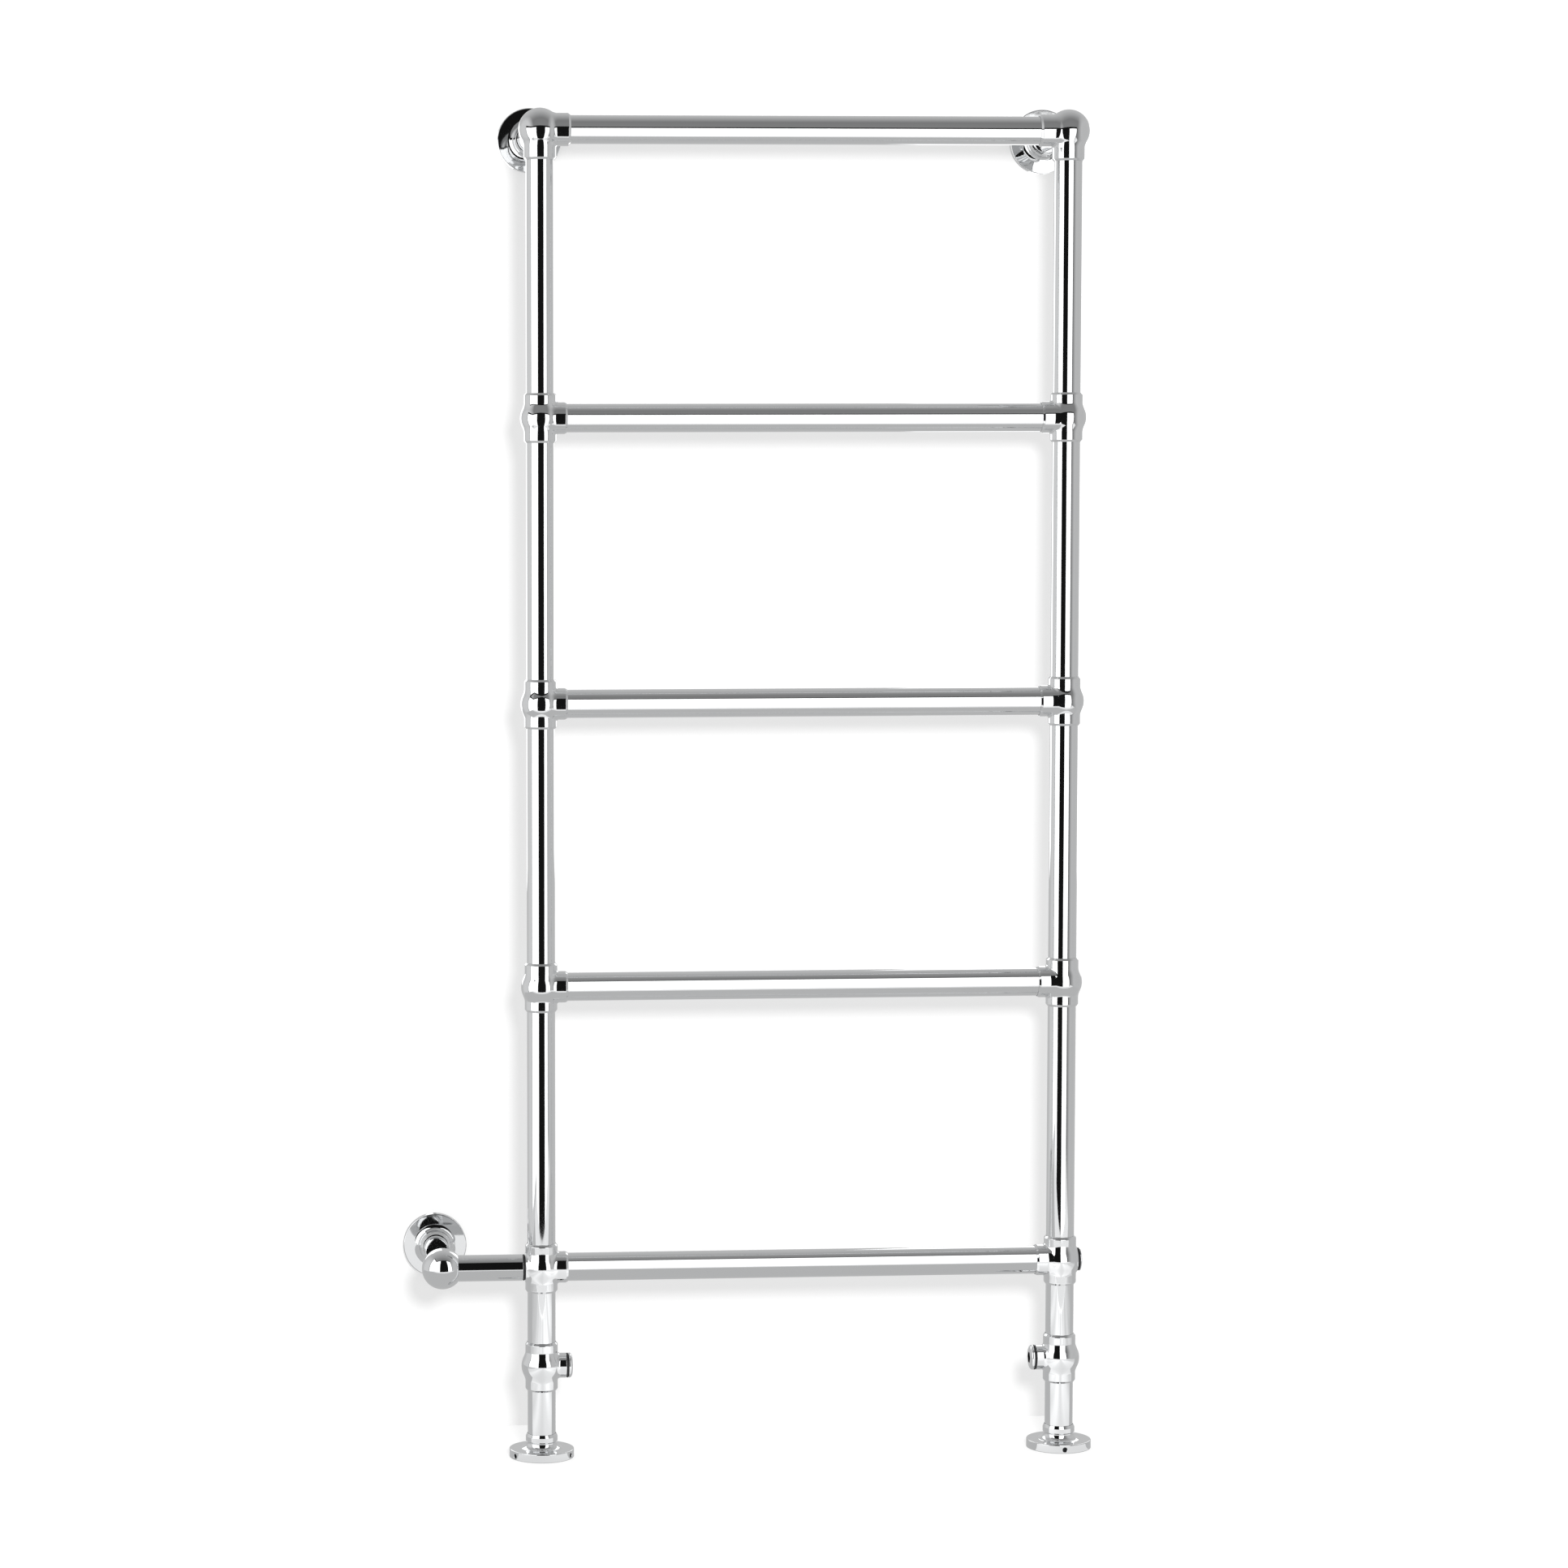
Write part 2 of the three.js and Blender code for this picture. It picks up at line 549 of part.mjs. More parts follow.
// The box's centre lines, from the outermost flanges
const leftmost = ELBOW_X - FLANGE_RADIUS;
const rightmost = HALF_SPACING + FLANGE_RADIUS;
assembly.position.set(
  -(leftmost + rightmost) / 2,
  -(WALL_DISTANCE - FLANGE_RADIUS) / 2,
  0,
);

export default model;
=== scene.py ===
"""A floor-standing chrome ladder radiator with ball fittings and a key valve in each leg.

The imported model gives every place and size. The pieces made here are the same pieces with
their finished surfaces: drawn tubes, cast ball fittings with soft blends, and turned parts.
Profiles are in millimetres, as [radius, height] along a piece's own axis.
"""

import itertools
import json
import math

import bmesh
import bpy
import numpy as np
from mathutils import Matrix, Vector

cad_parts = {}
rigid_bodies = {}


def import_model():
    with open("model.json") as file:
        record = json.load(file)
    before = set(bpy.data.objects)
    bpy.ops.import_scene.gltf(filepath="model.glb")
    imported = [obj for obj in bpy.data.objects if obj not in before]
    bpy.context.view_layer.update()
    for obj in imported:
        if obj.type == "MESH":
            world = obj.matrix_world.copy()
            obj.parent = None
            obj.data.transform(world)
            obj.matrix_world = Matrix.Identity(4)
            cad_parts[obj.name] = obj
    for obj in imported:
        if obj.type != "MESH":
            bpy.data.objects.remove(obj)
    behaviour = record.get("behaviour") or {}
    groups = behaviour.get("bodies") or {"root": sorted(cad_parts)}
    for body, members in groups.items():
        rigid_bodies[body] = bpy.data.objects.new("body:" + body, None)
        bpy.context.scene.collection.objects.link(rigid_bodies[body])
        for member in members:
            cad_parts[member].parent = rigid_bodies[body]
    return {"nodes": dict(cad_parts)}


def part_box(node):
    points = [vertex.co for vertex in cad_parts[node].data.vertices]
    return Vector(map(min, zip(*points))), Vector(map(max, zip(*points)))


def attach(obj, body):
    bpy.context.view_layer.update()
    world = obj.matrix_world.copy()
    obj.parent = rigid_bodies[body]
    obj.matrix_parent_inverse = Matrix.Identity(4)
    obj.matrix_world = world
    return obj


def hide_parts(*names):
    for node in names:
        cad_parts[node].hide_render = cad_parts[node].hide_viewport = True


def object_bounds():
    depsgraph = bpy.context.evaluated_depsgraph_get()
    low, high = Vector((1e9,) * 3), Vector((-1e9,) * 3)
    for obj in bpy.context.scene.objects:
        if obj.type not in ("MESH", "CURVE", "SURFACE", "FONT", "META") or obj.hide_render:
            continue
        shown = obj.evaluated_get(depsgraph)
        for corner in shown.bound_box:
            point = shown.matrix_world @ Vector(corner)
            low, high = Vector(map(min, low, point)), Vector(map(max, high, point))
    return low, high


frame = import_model()
cad_low, cad_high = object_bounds()
cad_nodes = frame["nodes"]

MM = 0.001
STILL = "frame"  # the body that everything but the valve spindles rides on
SIDES = ("left", "right")
INWARD = {"left": "right", "right": "left"}


# ---------------------------------------------------------------- places from the frame


def middle(node):
    low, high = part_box(node)
    return (low + high) / 2


def half_size(node, axis):
    """Half of a node's size along one axis, in millimetres."""
    low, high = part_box(node)
    return (getattr(high, axis) - getattr(low, axis)) / 2 / MM


def reach_from(node, centre, way):
    """How far a node reaches from a point along one of the named ways, in millimetres."""
    corners = itertools.product(*zip(*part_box(node)))
    return max((Vector(corner) - centre).dot(WAYS[way].col[2]) for corner in corners) / MM


def frame_of(z_axis, x_axis):
    z_axis, x_axis = Vector(z_axis), Vector(x_axis)
    return Matrix((x_axis, z_axis.cross(x_axis), z_axis)).transposed()


# Each way turns a piece's own +Z to point there.
WAYS = {
    "up": frame_of((0, 0, 1), (1, 0, 0)),
    "down": frame_of((0, 0, -1), (1, 0, 0)),
    "right": frame_of((1, 0, 0), (0, 1, 0)),
    "left": frame_of((-1, 0, 0), (0, 1, 0)),
    "back": frame_of((0, 1, 0), (0, 0, 1)),
    "front": frame_of((0, -1, 0), (0, 0, 1)),
}

TUBE_RADIUS = half_size("rail_1", "z")
TUBE_WALL = 1.5
BORE_RADIUS = TUBE_RADIUS - TUBE_WALL
FIT = 0.3  # clearance between a tube and its socket
SOCKET_RADIUS = TUBE_RADIUS + FIT
SOCKET_DEPTH = 12
ARM_RADIUS = half_size("arm_wall_tube", "x")

rail_count = sum(name.startswith("rail_") for name in cad_nodes)
rail_height = [middle(f"rail_{i + 1}").z for i in range(rail_count)]
upright_axis = {side: middle(f"upright_{side}_1") for side in SIDES}
valve_height = middle("valve_ball_left").z


def on_upright(side, height):
    return Vector((upright_axis[side].x, upright_axis[side].y, height))


# ---------------------------------------------------------------- materials


def linear(hex_colour):
    """An sRGB hex colour as linear RGBA."""
    parts = [int(hex_colour[i : i + 2], 16) / 255 for i in (1, 3, 5)]
    return (*[c / 12.92 if c <= 0.04045 else ((c + 0.055) / 1.055) ** 2.4 for c in parts], 1)


def add(tree, kind, links=None, **settings):
    """Adds a node. Settings are its properties; links fill its inputs by name or number."""
    node = tree.nodes.new(kind)
    for key, value in settings.items():
        setattr(node, key, value)
    for key, value in (links or {}).items():
        if isinstance(value, bpy.types.NodeSocket):
            tree.links.new(value, node.inputs[key])
        else:
            node.inputs[key].default_value = value
    return node


def new_material(name):
    material = bpy.data.materials.new(name)
    material.use_nodes = True
    material.node_tree.nodes.clear()
    return material, material.node_tree


def pattern(tree, size_mm, detail, stretch=(1, 1, 1), of_cad=False):
    """Random mottling by a point's place in its piece's own millimetres, +Z along the
    piece's axis, or by its place in a CAD node."""
    if of_cad:
        place = add(tree, "ShaderNodeTexCoord").outputs["Object"]
        stretch = (1 / MM,) * 3
    else:
        place = add(tree, "ShaderNodeAttribute", attribute_name="own_place").outputs["Vector"]
    placed = add(tree, "ShaderNodeMapping", {0: place, "Scale": stretch})
    links = {"Vector": placed.outputs[0], "Scale": 1 / size_mm, "Detail": detail}
    return add(tree, "ShaderNodeTexNoise", links).outputs["Fac"]


def finish_material(tree, haze, roughness, layers, **sockets):
    """Ends a material. The haze moves its roughness between two values, and each layer of
    relief, a height and its depth in millimetres, lies over the one before."""
    low, high = roughness
    links = {"Value": haze, "From Min": 0.3, "From Max": 0.7, "To Min": low, "To Max": high}
    uneven = add(tree, "ShaderNodeMapRange", links).outputs["Result"]
    relief = {}
    for height, depth_mm in layers:
        links = {"Height": height, "Distance": depth_mm * MM, "Strength": 1.0, **relief}
        relief = {"Normal": add(tree, "ShaderNodeBump", links).outputs["Normal"]}
    named = {key.replace("_", " "): value for key, value in sockets.items()}
    links = {"Roughness": uneven, **relief, **named}
    shader = add(tree, "ShaderNodeBsdfPrincipled", links)
    add(tree, "ShaderNodeOutputMaterial", {"Surface": shader.outputs[0]})


CHROME = linear("#E4E5E6")
RING_PITCH = 0.7  # mm between a turned piece's tool marks, drawn coarse so that they show


def drawn_tube_chrome():
    """Bright chrome over drawn brass tube: the polishing wheel ran lengthwise, so the
    reflections are drawn out along the tube and waver slightly from side to side."""
    material, tree = new_material("bright_chrome_on_drawn_tube")
    waver = pattern(tree, 14, 1, (1, 1, 0.25))
    lines = pattern(tree, 1.1, 3, (1, 1, 0.012))
    haze = pattern(tree, 9, 4, (1, 1, 0.1))
    layers = [(waver, 0.035), (lines, 0.0012)]
    finish_material(tree, haze, (0.025, 0.06), layers, Base_Color=CHROME, Metallic=1.0)
    return material


def cast_fitting_chrome():
    """Bright chrome over cast and buffed brass: soft, slightly uneven curves, with a trace
    of orange peel left by the buffing."""
    material, tree = new_material("bright_chrome_on_buffed_casting")
    layers = [(pattern(tree, 11, 1), 0.05), (pattern(tree, 2.2, 3), 0.0035)]
    haze = pattern(tree, 6, 4)
    finish_material(tree, haze, (0.03, 0.075), layers, Base_Color=CHROME, Metallic=1.0)
    return material


def turned_chrome():
    """Bright chrome over lathe-turned brass: faint rings round the axis. Real tool marks are
    about 0.1 mm apart."""
    material, tree = new_material("bright_chrome_on_turned_brass")
    place = add(tree, "ShaderNodeAttribute", attribute_name="own_place")
    apart = add(tree, "ShaderNodeSeparateXYZ", {0: place.outputs["Vector"]})
    across = add(tree, "ShaderNodeCombineXYZ", {0: apart.outputs[0], 1: apart.outputs[1]})
    radius = add(tree, "ShaderNodeVectorMath", {0: across.outputs[0]}, operation="LENGTH")
    links = {0: radius.outputs["Value"], 1: apart.outputs[2]}
    along = add(tree, "ShaderNodeMath", links, operation="ADD")
    links = {0: along.outputs[0], 1: 2 * math.pi / RING_PITCH}
    turns = add(tree, "ShaderNodeMath", links, operation="MULTIPLY")
    rings = add(tree, "ShaderNodeMath", {0: turns.outputs[0]}, operation="SINE")
    layers = [(pattern(tree, 12, 1), 0.02), (rings.outputs[0], 0.00018)]
    haze = pattern(tree, 7, 4)
    finish_material(tree, haze, (0.02, 0.055), layers, Base_Color=CHROME, Metallic=1.0)
    return material


def nitrile_rubber():
    """Moulded black nitrile O-rings: dark, dull and faintly mottled."""
    material, tree = new_material("moulded_nitrile_rubber")
    mottle = pattern(tree, 0.8, 3)
    links = {"Factor": mottle, "A": linear("#0D0D0E"), "B": linear("#1C1C1E")}
    colour = add(tree, "ShaderNodeMix", links, data_type="RGBA").outputs["Result"]
    finish_material(tree, mottle, (0.42, 0.6), [(mottle, 0.02)], Base_Color=colour)
    return material


def steel_screw():
    """Blackened steel set screws, turned and left oily: dark grey with a low sheen."""
    material, tree = new_material("blackened_steel_screw")
    grain = pattern(tree, 0.6, 3)
    colour = linear("#3A3B3D")
    finish_material(tree, grain, (0.3, 0.5), [(grain, 0.01)], Base_Color=colour, Metallic=1.0)
    return material


def cad_metal(name, base, low, high, grain_mm, depth_mm):
    """Metal of a carried-over inner piece, with its grain in place on the piece."""
    material, tree = new_material(name)
    grain = pattern(tree, grain_mm, 4, of_cad=True)
    layers = [(grain, depth_mm)]
    finish_material(tree, grain, (low, high), layers, Base_Color=linear(base), Metallic=1.0)
    return material


def seat_ptfe():
    """Skived PTFE valve seats: waxy, off-white and matt."""
    material, tree = new_material("skived_ptfe_seat")
    cloud = pattern(tree, 2.5, 4, of_cad=True)
    links = {"Factor": cloud, "A": linear("#E9E7DF"), "B": linear("#F6F5F0")}
    colour = add(tree, "ShaderNodeMix", links, data_type="RGBA").outputs["Result"]
    finish_material(tree, cloud, (0.45, 0.6), [(cloud, 0.01)], Base_Color=colour, IOR=1.35)
    return material


TUBE_FINISH = drawn_tube_chrome()
CAST_FINISH = cast_fitting_chrome()
TURNED_FINISH = turned_chrome()
RUBBER_FINISH = nitrile_rubber()
SCREW_FINISH = steel_screw()
BALL_FINISH = cad_metal("hard_chrome_on_lapped_ball", "#DCDDDF", 0.04, 0.09, 3, 0.002)
GLAND_FINISH = cad_metal("turned_brass_gland", "#C9A45A", 0.22, 0.38, 1.2, 0.01)
PLATE_FINISH = cad_metal("zinc_plated_pressed_steel", "#B9BDC1", 0.3, 0.5, 2, 0.02)
SEAT_FINISH = seat_ptfe()


# ---------------------------------------------------------------- making meshes

ROUND = 160  # facets round a finished piece; a multiple of eight, for the ball fittings
EASE_STEPS = 4  # facets round an eased edge
SUPPORT = 0.15  # a ring this far past each eased edge keeps the long faces' shading straight
SHARP_ANGLE = math.radians(24)


def eased(points, closed=False):
    """Turns [r, z, ease] corners into arcs; a corner with no ease stays sharp."""
    outline = []
    count = len(points)
    for i, point in enumerate(points):
        here = Vector(point[:2])
        at_end = not closed and i in (0, count - 1)
        if len(point) < 3 or at_end:
            outline.append(tuple(here))
            continue
        before = (Vector(points[i - 1][:2]) - here).normalized()
        after = (Vector(points[(i + 1) % count][:2]) - here).normalized()
        half = math.acos(max(-1, min(1, before.dot(after)))) / 2
        radius = point[2]
        back_off = radius / math.tan(half)
        centre = here + (before + after).normalized() * (radius / math.sin(half))
        start = here + before * back_off - centre
        swing = start.angle_signed(here + after * back_off - centre)
        outline.append(tuple(here + before * (back_off + SUPPORT)))
        for step in range(EASE_STEPS + 1):
            turn = -swing * step / EASE_STEPS
            outline.append(tuple(centre + Matrix.Rotation(turn, 2) @ start))
        outline.append(tuple(here + after * (back_off + SUPPORT)))
    return outline


def mesh_piece(name, points_mm, faces, way, place, finish):
    """Makes an object from points in its own millimetres, turned and set in place."""
    points = np.asarray(points_mm, float)
    turn = np.array(WAYS[way])
    mesh = bpy.data.meshes.new(name)
    mesh.from_pydata((points @ turn.T * MM + np.array(place)).tolist(), [], faces)
    own = mesh.attributes.new("own_place", "FLOAT_VECTOR", "POINT")
    own.data.foreach_set("vector", points.astype(np.float32).ravel())
    return finished_object(name, mesh, finish)


def finished_object(name, mesh, finish):
    mesh.name = name
    mesh.materials.clear()
    mesh.materials.append(finish)
    shape = bmesh.new()
    shape.from_mesh(mesh)
    bmesh.ops.remove_doubles(shape, verts=shape.verts, dist=2e-6)
    bmesh.ops.recalc_face_normals(shape, faces=shape.faces)
    for face in shape.faces:
        face.smooth = True
    for edge in shape.edges:
        edge.smooth = len(edge.link_faces) == 2 and edge.calc_face_angle(0) < SHARP_ANGLE
    shape.to_mesh(mesh)
    shape.free()
    piece = bpy.data.objects.new(name, mesh)
    bpy.context.scene.collection.objects.link(piece)
    return piece


def turned_shape(outline, closed, around):
    """Points and faces of an outline turned about +Z. Open outlines end on the axis."""
    points, rings, faces = [], [], []
    angles = np.arange(around) * 2 * math.pi / around
    for r, z in outline:
        if r < 1e-6:
            rings.append([len(points)] * around)
            points.append((0, 0, z))
        else:
            rings.append(list(range(len(points), len(points) + around)))
            points.extend(zip(r * np.cos(angles), r * np.sin(angles), [z] * around))
    pairs = list(zip(rings, rings[1:] + rings[:1] if closed else rings[1:]))
    for low, high in pairs:
        for n in range(around):
            m = (n + 1) % around
            corners = [low[n], low[m], high[m], high[n]]
            faces.append(list(dict.fromkeys(corners)))
    return points, [face for face in faces if len(face) > 2]


def turned_piece(name, outline, way, place, finish, closed=False, around=ROUND):
    points, faces = turned_shape(eased(outline, closed), closed, around)
    return mesh_piece(name, points, faces, way, place, finish)


def prism_piece(name, corners, low, high, way, place, finish):
    """A straight prism from [x, y] corners, between two heights."""
    count = len(corners)
    points = [(x, y, z) for z in (low, high) for x, y in corners]
    faces = [tuple(range(count))[::-1], tuple(range(count, 2 * count))]
    faces += [(n, (n + 1) % count, count + (n + 1) % count, count + n) for n in range(count)]
    return mesh_piece(name, points, faces, way, place, finish)


def hexagon(across_flats):
    """Corners of a hexagon, with one corner on the x axis."""
    corner = across_flats / math.sqrt(3)
    angles = [n * math.pi / 3 for n in range(6)]
    return [(corner * math.cos(a), corner * math.sin(a)) for a in angles]


def stands_for(piece, node, body=STILL):
    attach(piece, body)
    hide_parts(node)


def cut_or_join(piece, tool, operation):
    """Cuts or joins one tool piece, and removes the tool."""
    modifier = piece.modifiers.new("work", "BOOLEAN")
    modifier.object, modifier.operation, modifier.solver = tool, operation, "EXACT"
    evaluated = piece.evaluated_get(bpy.context.evaluated_depsgraph_get())
    mesh = bpy.data.meshes.new_from_object(evaluated)
    finish = piece.data.materials[0]
    name = piece.name
    bpy.data.objects.remove(tool)
    bpy.data.objects.remove(piece)
    return finished_object(name, mesh, finish)


# ---------------------------------------------------------------- drawn tubes


def new_grower(name, result, inputs):
    """A Geometry Nodes tree with its inputs, and those that turn, place and finish a piece."""
    tree = bpy.data.node_groups.new(name, "GeometryNodeTree")
    inputs = {**inputs, "Turn": "Rotation", "Place": "Vector", "Finish": "Material"}
    for label, kind in inputs.items():
        tree.interface.new_socket(label, in_out="INPUT", socket_type="NodeSocket" + kind)
    tree.interface.new_socket(result, in_out="OUTPUT", socket_type="NodeSocketGeometry")
    return tree, add(tree, "NodeGroupInput").outputs


def set_in_place(tree, given, geometry):
    """Ends a tree: the piece is turned, placed, made real and given its finish."""
    links = {"Geometry": geometry, "Translation": given["Place"], "Rotation": given["Turn"]}
    placed = add(tree, "GeometryNodeTransform", links)
    real = add(tree, "GeometryNodeRealizeInstances", {0: placed.outputs[0]})
    links = {"Geometry": real.outputs[0], "Material": given["Finish"]}
    coloured = add(tree, "GeometryNodeSetMaterial", links)
    add(tree, "NodeGroupOutput", {0: coloured.outputs[0]})


def tube_tree():
    """Geometry Nodes for a drawn tube: its wall swept round a circle, with the piece's own
    place stored for the finish."""
    sizes = {"Length": "Float", "Radius": "Float", "Wall": "Float"}
    tree, given = new_grower("drawn_tube", "Tube", sizes)
    half_wall = add(tree, "ShaderNodeMath", {0: given["Wall"], 1: 2.0}, operation="DIVIDE")
    links = {0: given["Radius"], 1: half_wall.outputs[0]}
    middle_radius = add(tree, "ShaderNodeMath", links, operation="SUBTRACT")
    links = {"Resolution": ROUND, "Radius": middle_radius.outputs[0]}
    path = add(tree, "GeometryNodeCurvePrimitiveCircle", links)
    links = {"Width": given["Wall"], "Height": given["Length"]}
    section = add(tree, "GeometryNodeCurvePrimitiveQuadrilateral", links)
    links = {"Curve": path.outputs["Curve"], "Profile Curve": section.outputs["Curve"]}
    sweep = add(tree, "GeometryNodeCurveToMesh", links)
    place = add(tree, "GeometryNodeInputPosition")
    links = {0: place.outputs[0], "Scale": 1 / MM}
    in_mm = add(tree, "ShaderNodeVectorMath", links, operation="SCALE")
    links = {"Geometry": sweep.outputs[0], "Name": "own_place", "Value": in_mm.outputs[0]}
    stored = add(tree, "GeometryNodeStoreNamedAttribute", links, data_type="FLOAT_VECTOR")
    set_in_place(tree, given, stored.outputs[0])
    return tree


def grown(name, tree, values, finish):
    """Runs a Geometry Nodes tree with these inputs and keeps the result as a plain mesh."""
    holder = bpy.data.objects.new(name + "_work", bpy.data.meshes.new(name))
    bpy.context.scene.collection.objects.link(holder)
    modifier = holder.modifiers.new("grow", "NODES")
    modifier.node_group = tree
    for socket in tree.interface.items_tree:
        if socket.in_out == "INPUT":
            modifier[socket.identifier] = values[socket.name]
    evaluated = holder.evaluated_get(bpy.context.evaluated_depsgraph_get())
    mesh = bpy.data.meshes.new_from_object(evaluated)
    bpy.data.objects.remove(holder)
    return finished_object(name, mesh, finish)


TUBE_TREE = tube_tree()
TUBE_WAYS = {"x": "right", "y": "back", "z": "up"}


def tube_piece(name, node, axis):
    """A drawn tube in a CAD tube's place."""
    low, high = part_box(node)
    size = high - low
    values = {
        "Length": getattr(size, axis),
        "Radius": min(size) / 2,
        "Wall": TUBE_WALL * MM,
        "Turn": WAYS[TUBE_WAYS[axis]].to_euler(),
        "Place": (low + high) / 2,
        "Finish": TUBE_FINISH,
    }
    stands_for(grown(name, TUBE_TREE, values, TUBE_FINISH), node)


def make_tubes():
    for i in range(rail_count):
        tube_piece(f"rail_tube_{i + 1}", f"rail_{i + 1}", "x")
    for side in SIDES:
        for i in range(rail_count - 1):
            tube_piece(f"upright_tube_{side}_{i + 1}", f"upright_{side}_{i + 1}", "z")
        tube_piece(f"upper_leg_tube_{side}", f"leg_upper_{side}", "z")
        tube_piece(f"lower_leg_tube_{side}", f"leg_lower_{side}", "z")
        tube_piece(f"wall_stay_tube_{side}", f"wall_stay_{side}", "y")
    tube_piece("arm_tube_to_wall", "arm_wall_tube", "y")


# ---------------------------------------------------------------- ball fittings

PATCH_SIDE = ROUND // 4
PATCH_RINGS = 18
BLEND = 2.2  # radius of the soft blend between a ball and its collars
COLLAR_BEVEL = 2.4
COLLAR_WALL = 2.2
BRANCH_WALL = 1.6
MOUTH_LIP = 0.4
COLLAR_RADIUS = SOCKET_RADIUS + COLLAR_WALL
BRANCH_RADIUS = SOCKET_RADIUS + BRANCH_WALL
BORE_CLEAR = BORE_RADIUS + 0.8  # a side bore's ring starts outside the main bore
SPIGOT_FIT = 10.8
PORT_EASE = 0.45
BOSS_MARGIN = 0.5  # a side port's face is this much wider than its seal
HOLE_RIM = 0.9


def soft_join(a, b, radius):
    """Distance to two joined shapes, with a round blend where they meet."""
    inside = np.hypot(np.maximum(radius - a, 0), np.maximum(radius - b, 0))
    return np.maximum(radius, np.minimum(a, b)) - inside


def outer_distance(points, ball_radius, ports):
    distance = np.linalg.norm(points, axis=1) - ball_radius
    for way, port in ports.items():
        if port["radius"] is None:
            continue
        axis = np.array(WAYS[way].col[2])
        along = points @ axis
        side = np.linalg.norm(points - along[:, None] * axis, axis=1) - port["radius"]
        rod = np.where(along > 0, side, np.hypot(np.maximum(side, 0), along))
        distance = soft_join(distance, rod, BLEND)
    return distance


def outer_reach(ways_out, ball_radius, ports):
    """How far the outside stands from the centre along each direction."""
    low = np.full(len(ways_out), ball_radius * 0.5)
    high = np.full(len(ways_out), ball_radius * 3.0)
    for _ in range(45):
        half = (low + high) / 2
        outside = outer_distance(ways_out * half[:, None], ball_radius, ports) > 0
        high = np.where(outside, half, high)
        low = np.where(outside, low, half)
    return high


def inner_reach(ways_out, ports):
    """How far the flow bores stand from the centre along each direction."""
    reach = np.full(len(ways_out), BORE_RADIUS)
    for way, port in ports.items():
        along = ways_out @ np.array(WAYS[way].col[2])
        across = np.sqrt(np.maximum(1 - along**2, 1e-12))
        reach = np.where(along >= -1e-9, np.maximum(reach, port["bore"] / across), reach)
    return reach


def fitting_shape(ball_radius, ports):
    """A hollow ball fitting: six patches, one for each way, each with a wall of two skins.
    A port's patch starts at a ring, and its outline carries on round the mouth and in."""
    points, faces = [], []

    def add_points(new):
        start = sum(len(p) for p in points)
        points.append(new)
        return start

    def add_sheet(start, rows, across, wrap, flip):
        for row in range(rows - 1):
            for n in range(across if wrap else across - 1):
                m = (n + 1) % across
                a, b = start + row * across + n, start + (row + 1) * across + n
                c, d = start + (row + 1) * across + m, start + row * across + m
                faces.append((a, d, c, b) if flip else (a, b, c, d))

    def skin_points(ways_out, inner):
        if inner:
            return ways_out * inner_reach(ways_out, ports)[:, None]
        return ways_out * outer_reach(ways_out, ball_radius, ports)[:, None]

    def add_plain_patch(u, v, w):
        steps = np.tan(np.linspace(-math.pi / 4, math.pi / 4, PATCH_SIDE + 1))
        a, b = np.meshgrid(steps, steps, indexing="ij")
        ways_out = a.reshape(-1, 1) * u + b.reshape(-1, 1) * v + w
        ways_out /= np.linalg.norm(ways_out, axis=1)[:, None]
        for inner in (False, True):
            start = add_points(skin_points(ways_out, inner))
            add_sheet(start, PATCH_SIDE + 1, PATCH_SIDE + 1, False, inner)

    def add_port_patch(u, v, w, outline):
        angles = np.arange(ROUND) * 2 * math.pi / ROUND
        spoke = np.cos(angles)[:, None] * u + np.sin(angles)[:, None] * v
        edge = np.arctan(1 / np.maximum(abs(np.cos(angles)), abs(np.sin(angles))))
        first_rings = []
        for inner in (False, True):
            ring_r, ring_z = outline[-1] if inner else outline[0]
            first = math.atan2(ring_r, ring_z)
            share = np.linspace(0, 1, PATCH_RINGS)[:, None]
            tilt = (first + (edge - first) * share).reshape(-1, 1)
            spokes = np.tile(spoke, (PATCH_RINGS, 1))
            patch = skin_points(np.sin(tilt) * spokes + np.cos(tilt) * w, inner)
            first_rings.append(patch[:ROUND])
            add_sheet(add_points(patch), PATCH_RINGS, ROUND, True, inner)
        rings = [spoke * r + w * z for r, z in outline[1:-1]]
        mouth = np.concatenate([first_rings[0], *rings, first_rings[1]])
        add_sheet(add_points(mouth), len(outline), ROUND, True, True)

    for way, turn in WAYS.items():
        u, v, w = (np.array(turn.col[i]) for i in range(3))
        if way in ports:
            add_port_patch(u, v, w, eased(ports[way]["outline"]))
        else:
            add_plain_patch(u, v, w)
    return np.concatenate(points), faces


def collar_port(radius, reach):
    """A socketed collar with a bevelled mouth, out to its reach."""
    shoulder = reach - COLLAR_BEVEL
    seat = reach - SOCKET_DEPTH
    outline = [
        (radius, shoulder - 1.2),
        (radius, shoulder, 0.9),
        (SOCKET_RADIUS + MOUTH_LIP, reach, 0.25),
        (SOCKET_RADIUS, reach),
        (SOCKET_RADIUS, seat),
        (BORE_RADIUS, seat),
    ]
    return {"radius": radius, "bore": BORE_RADIUS, "outline": outline}


def plain_port(radius, reach, bore):
    """A plain round port with a flat face and a bore."""
    outline = [
        (radius, reach - PORT_EASE - 0.2),
        (radius, reach, PORT_EASE),
        (bore, reach, 0.2),
        (bore, BORE_CLEAR),
    ]
    return {"radius": radius, "bore": bore, "outline": outline}


def upright_collars(node, centre):
    reach = reach_from(node, centre, "up")
    return {way: collar_port(COLLAR_RADIUS, reach) for way in ("up", "down")}


def branch_collar(node, centre, way):
    return collar_port(BRANCH_RADIUS, reach_from(node, centre, way))


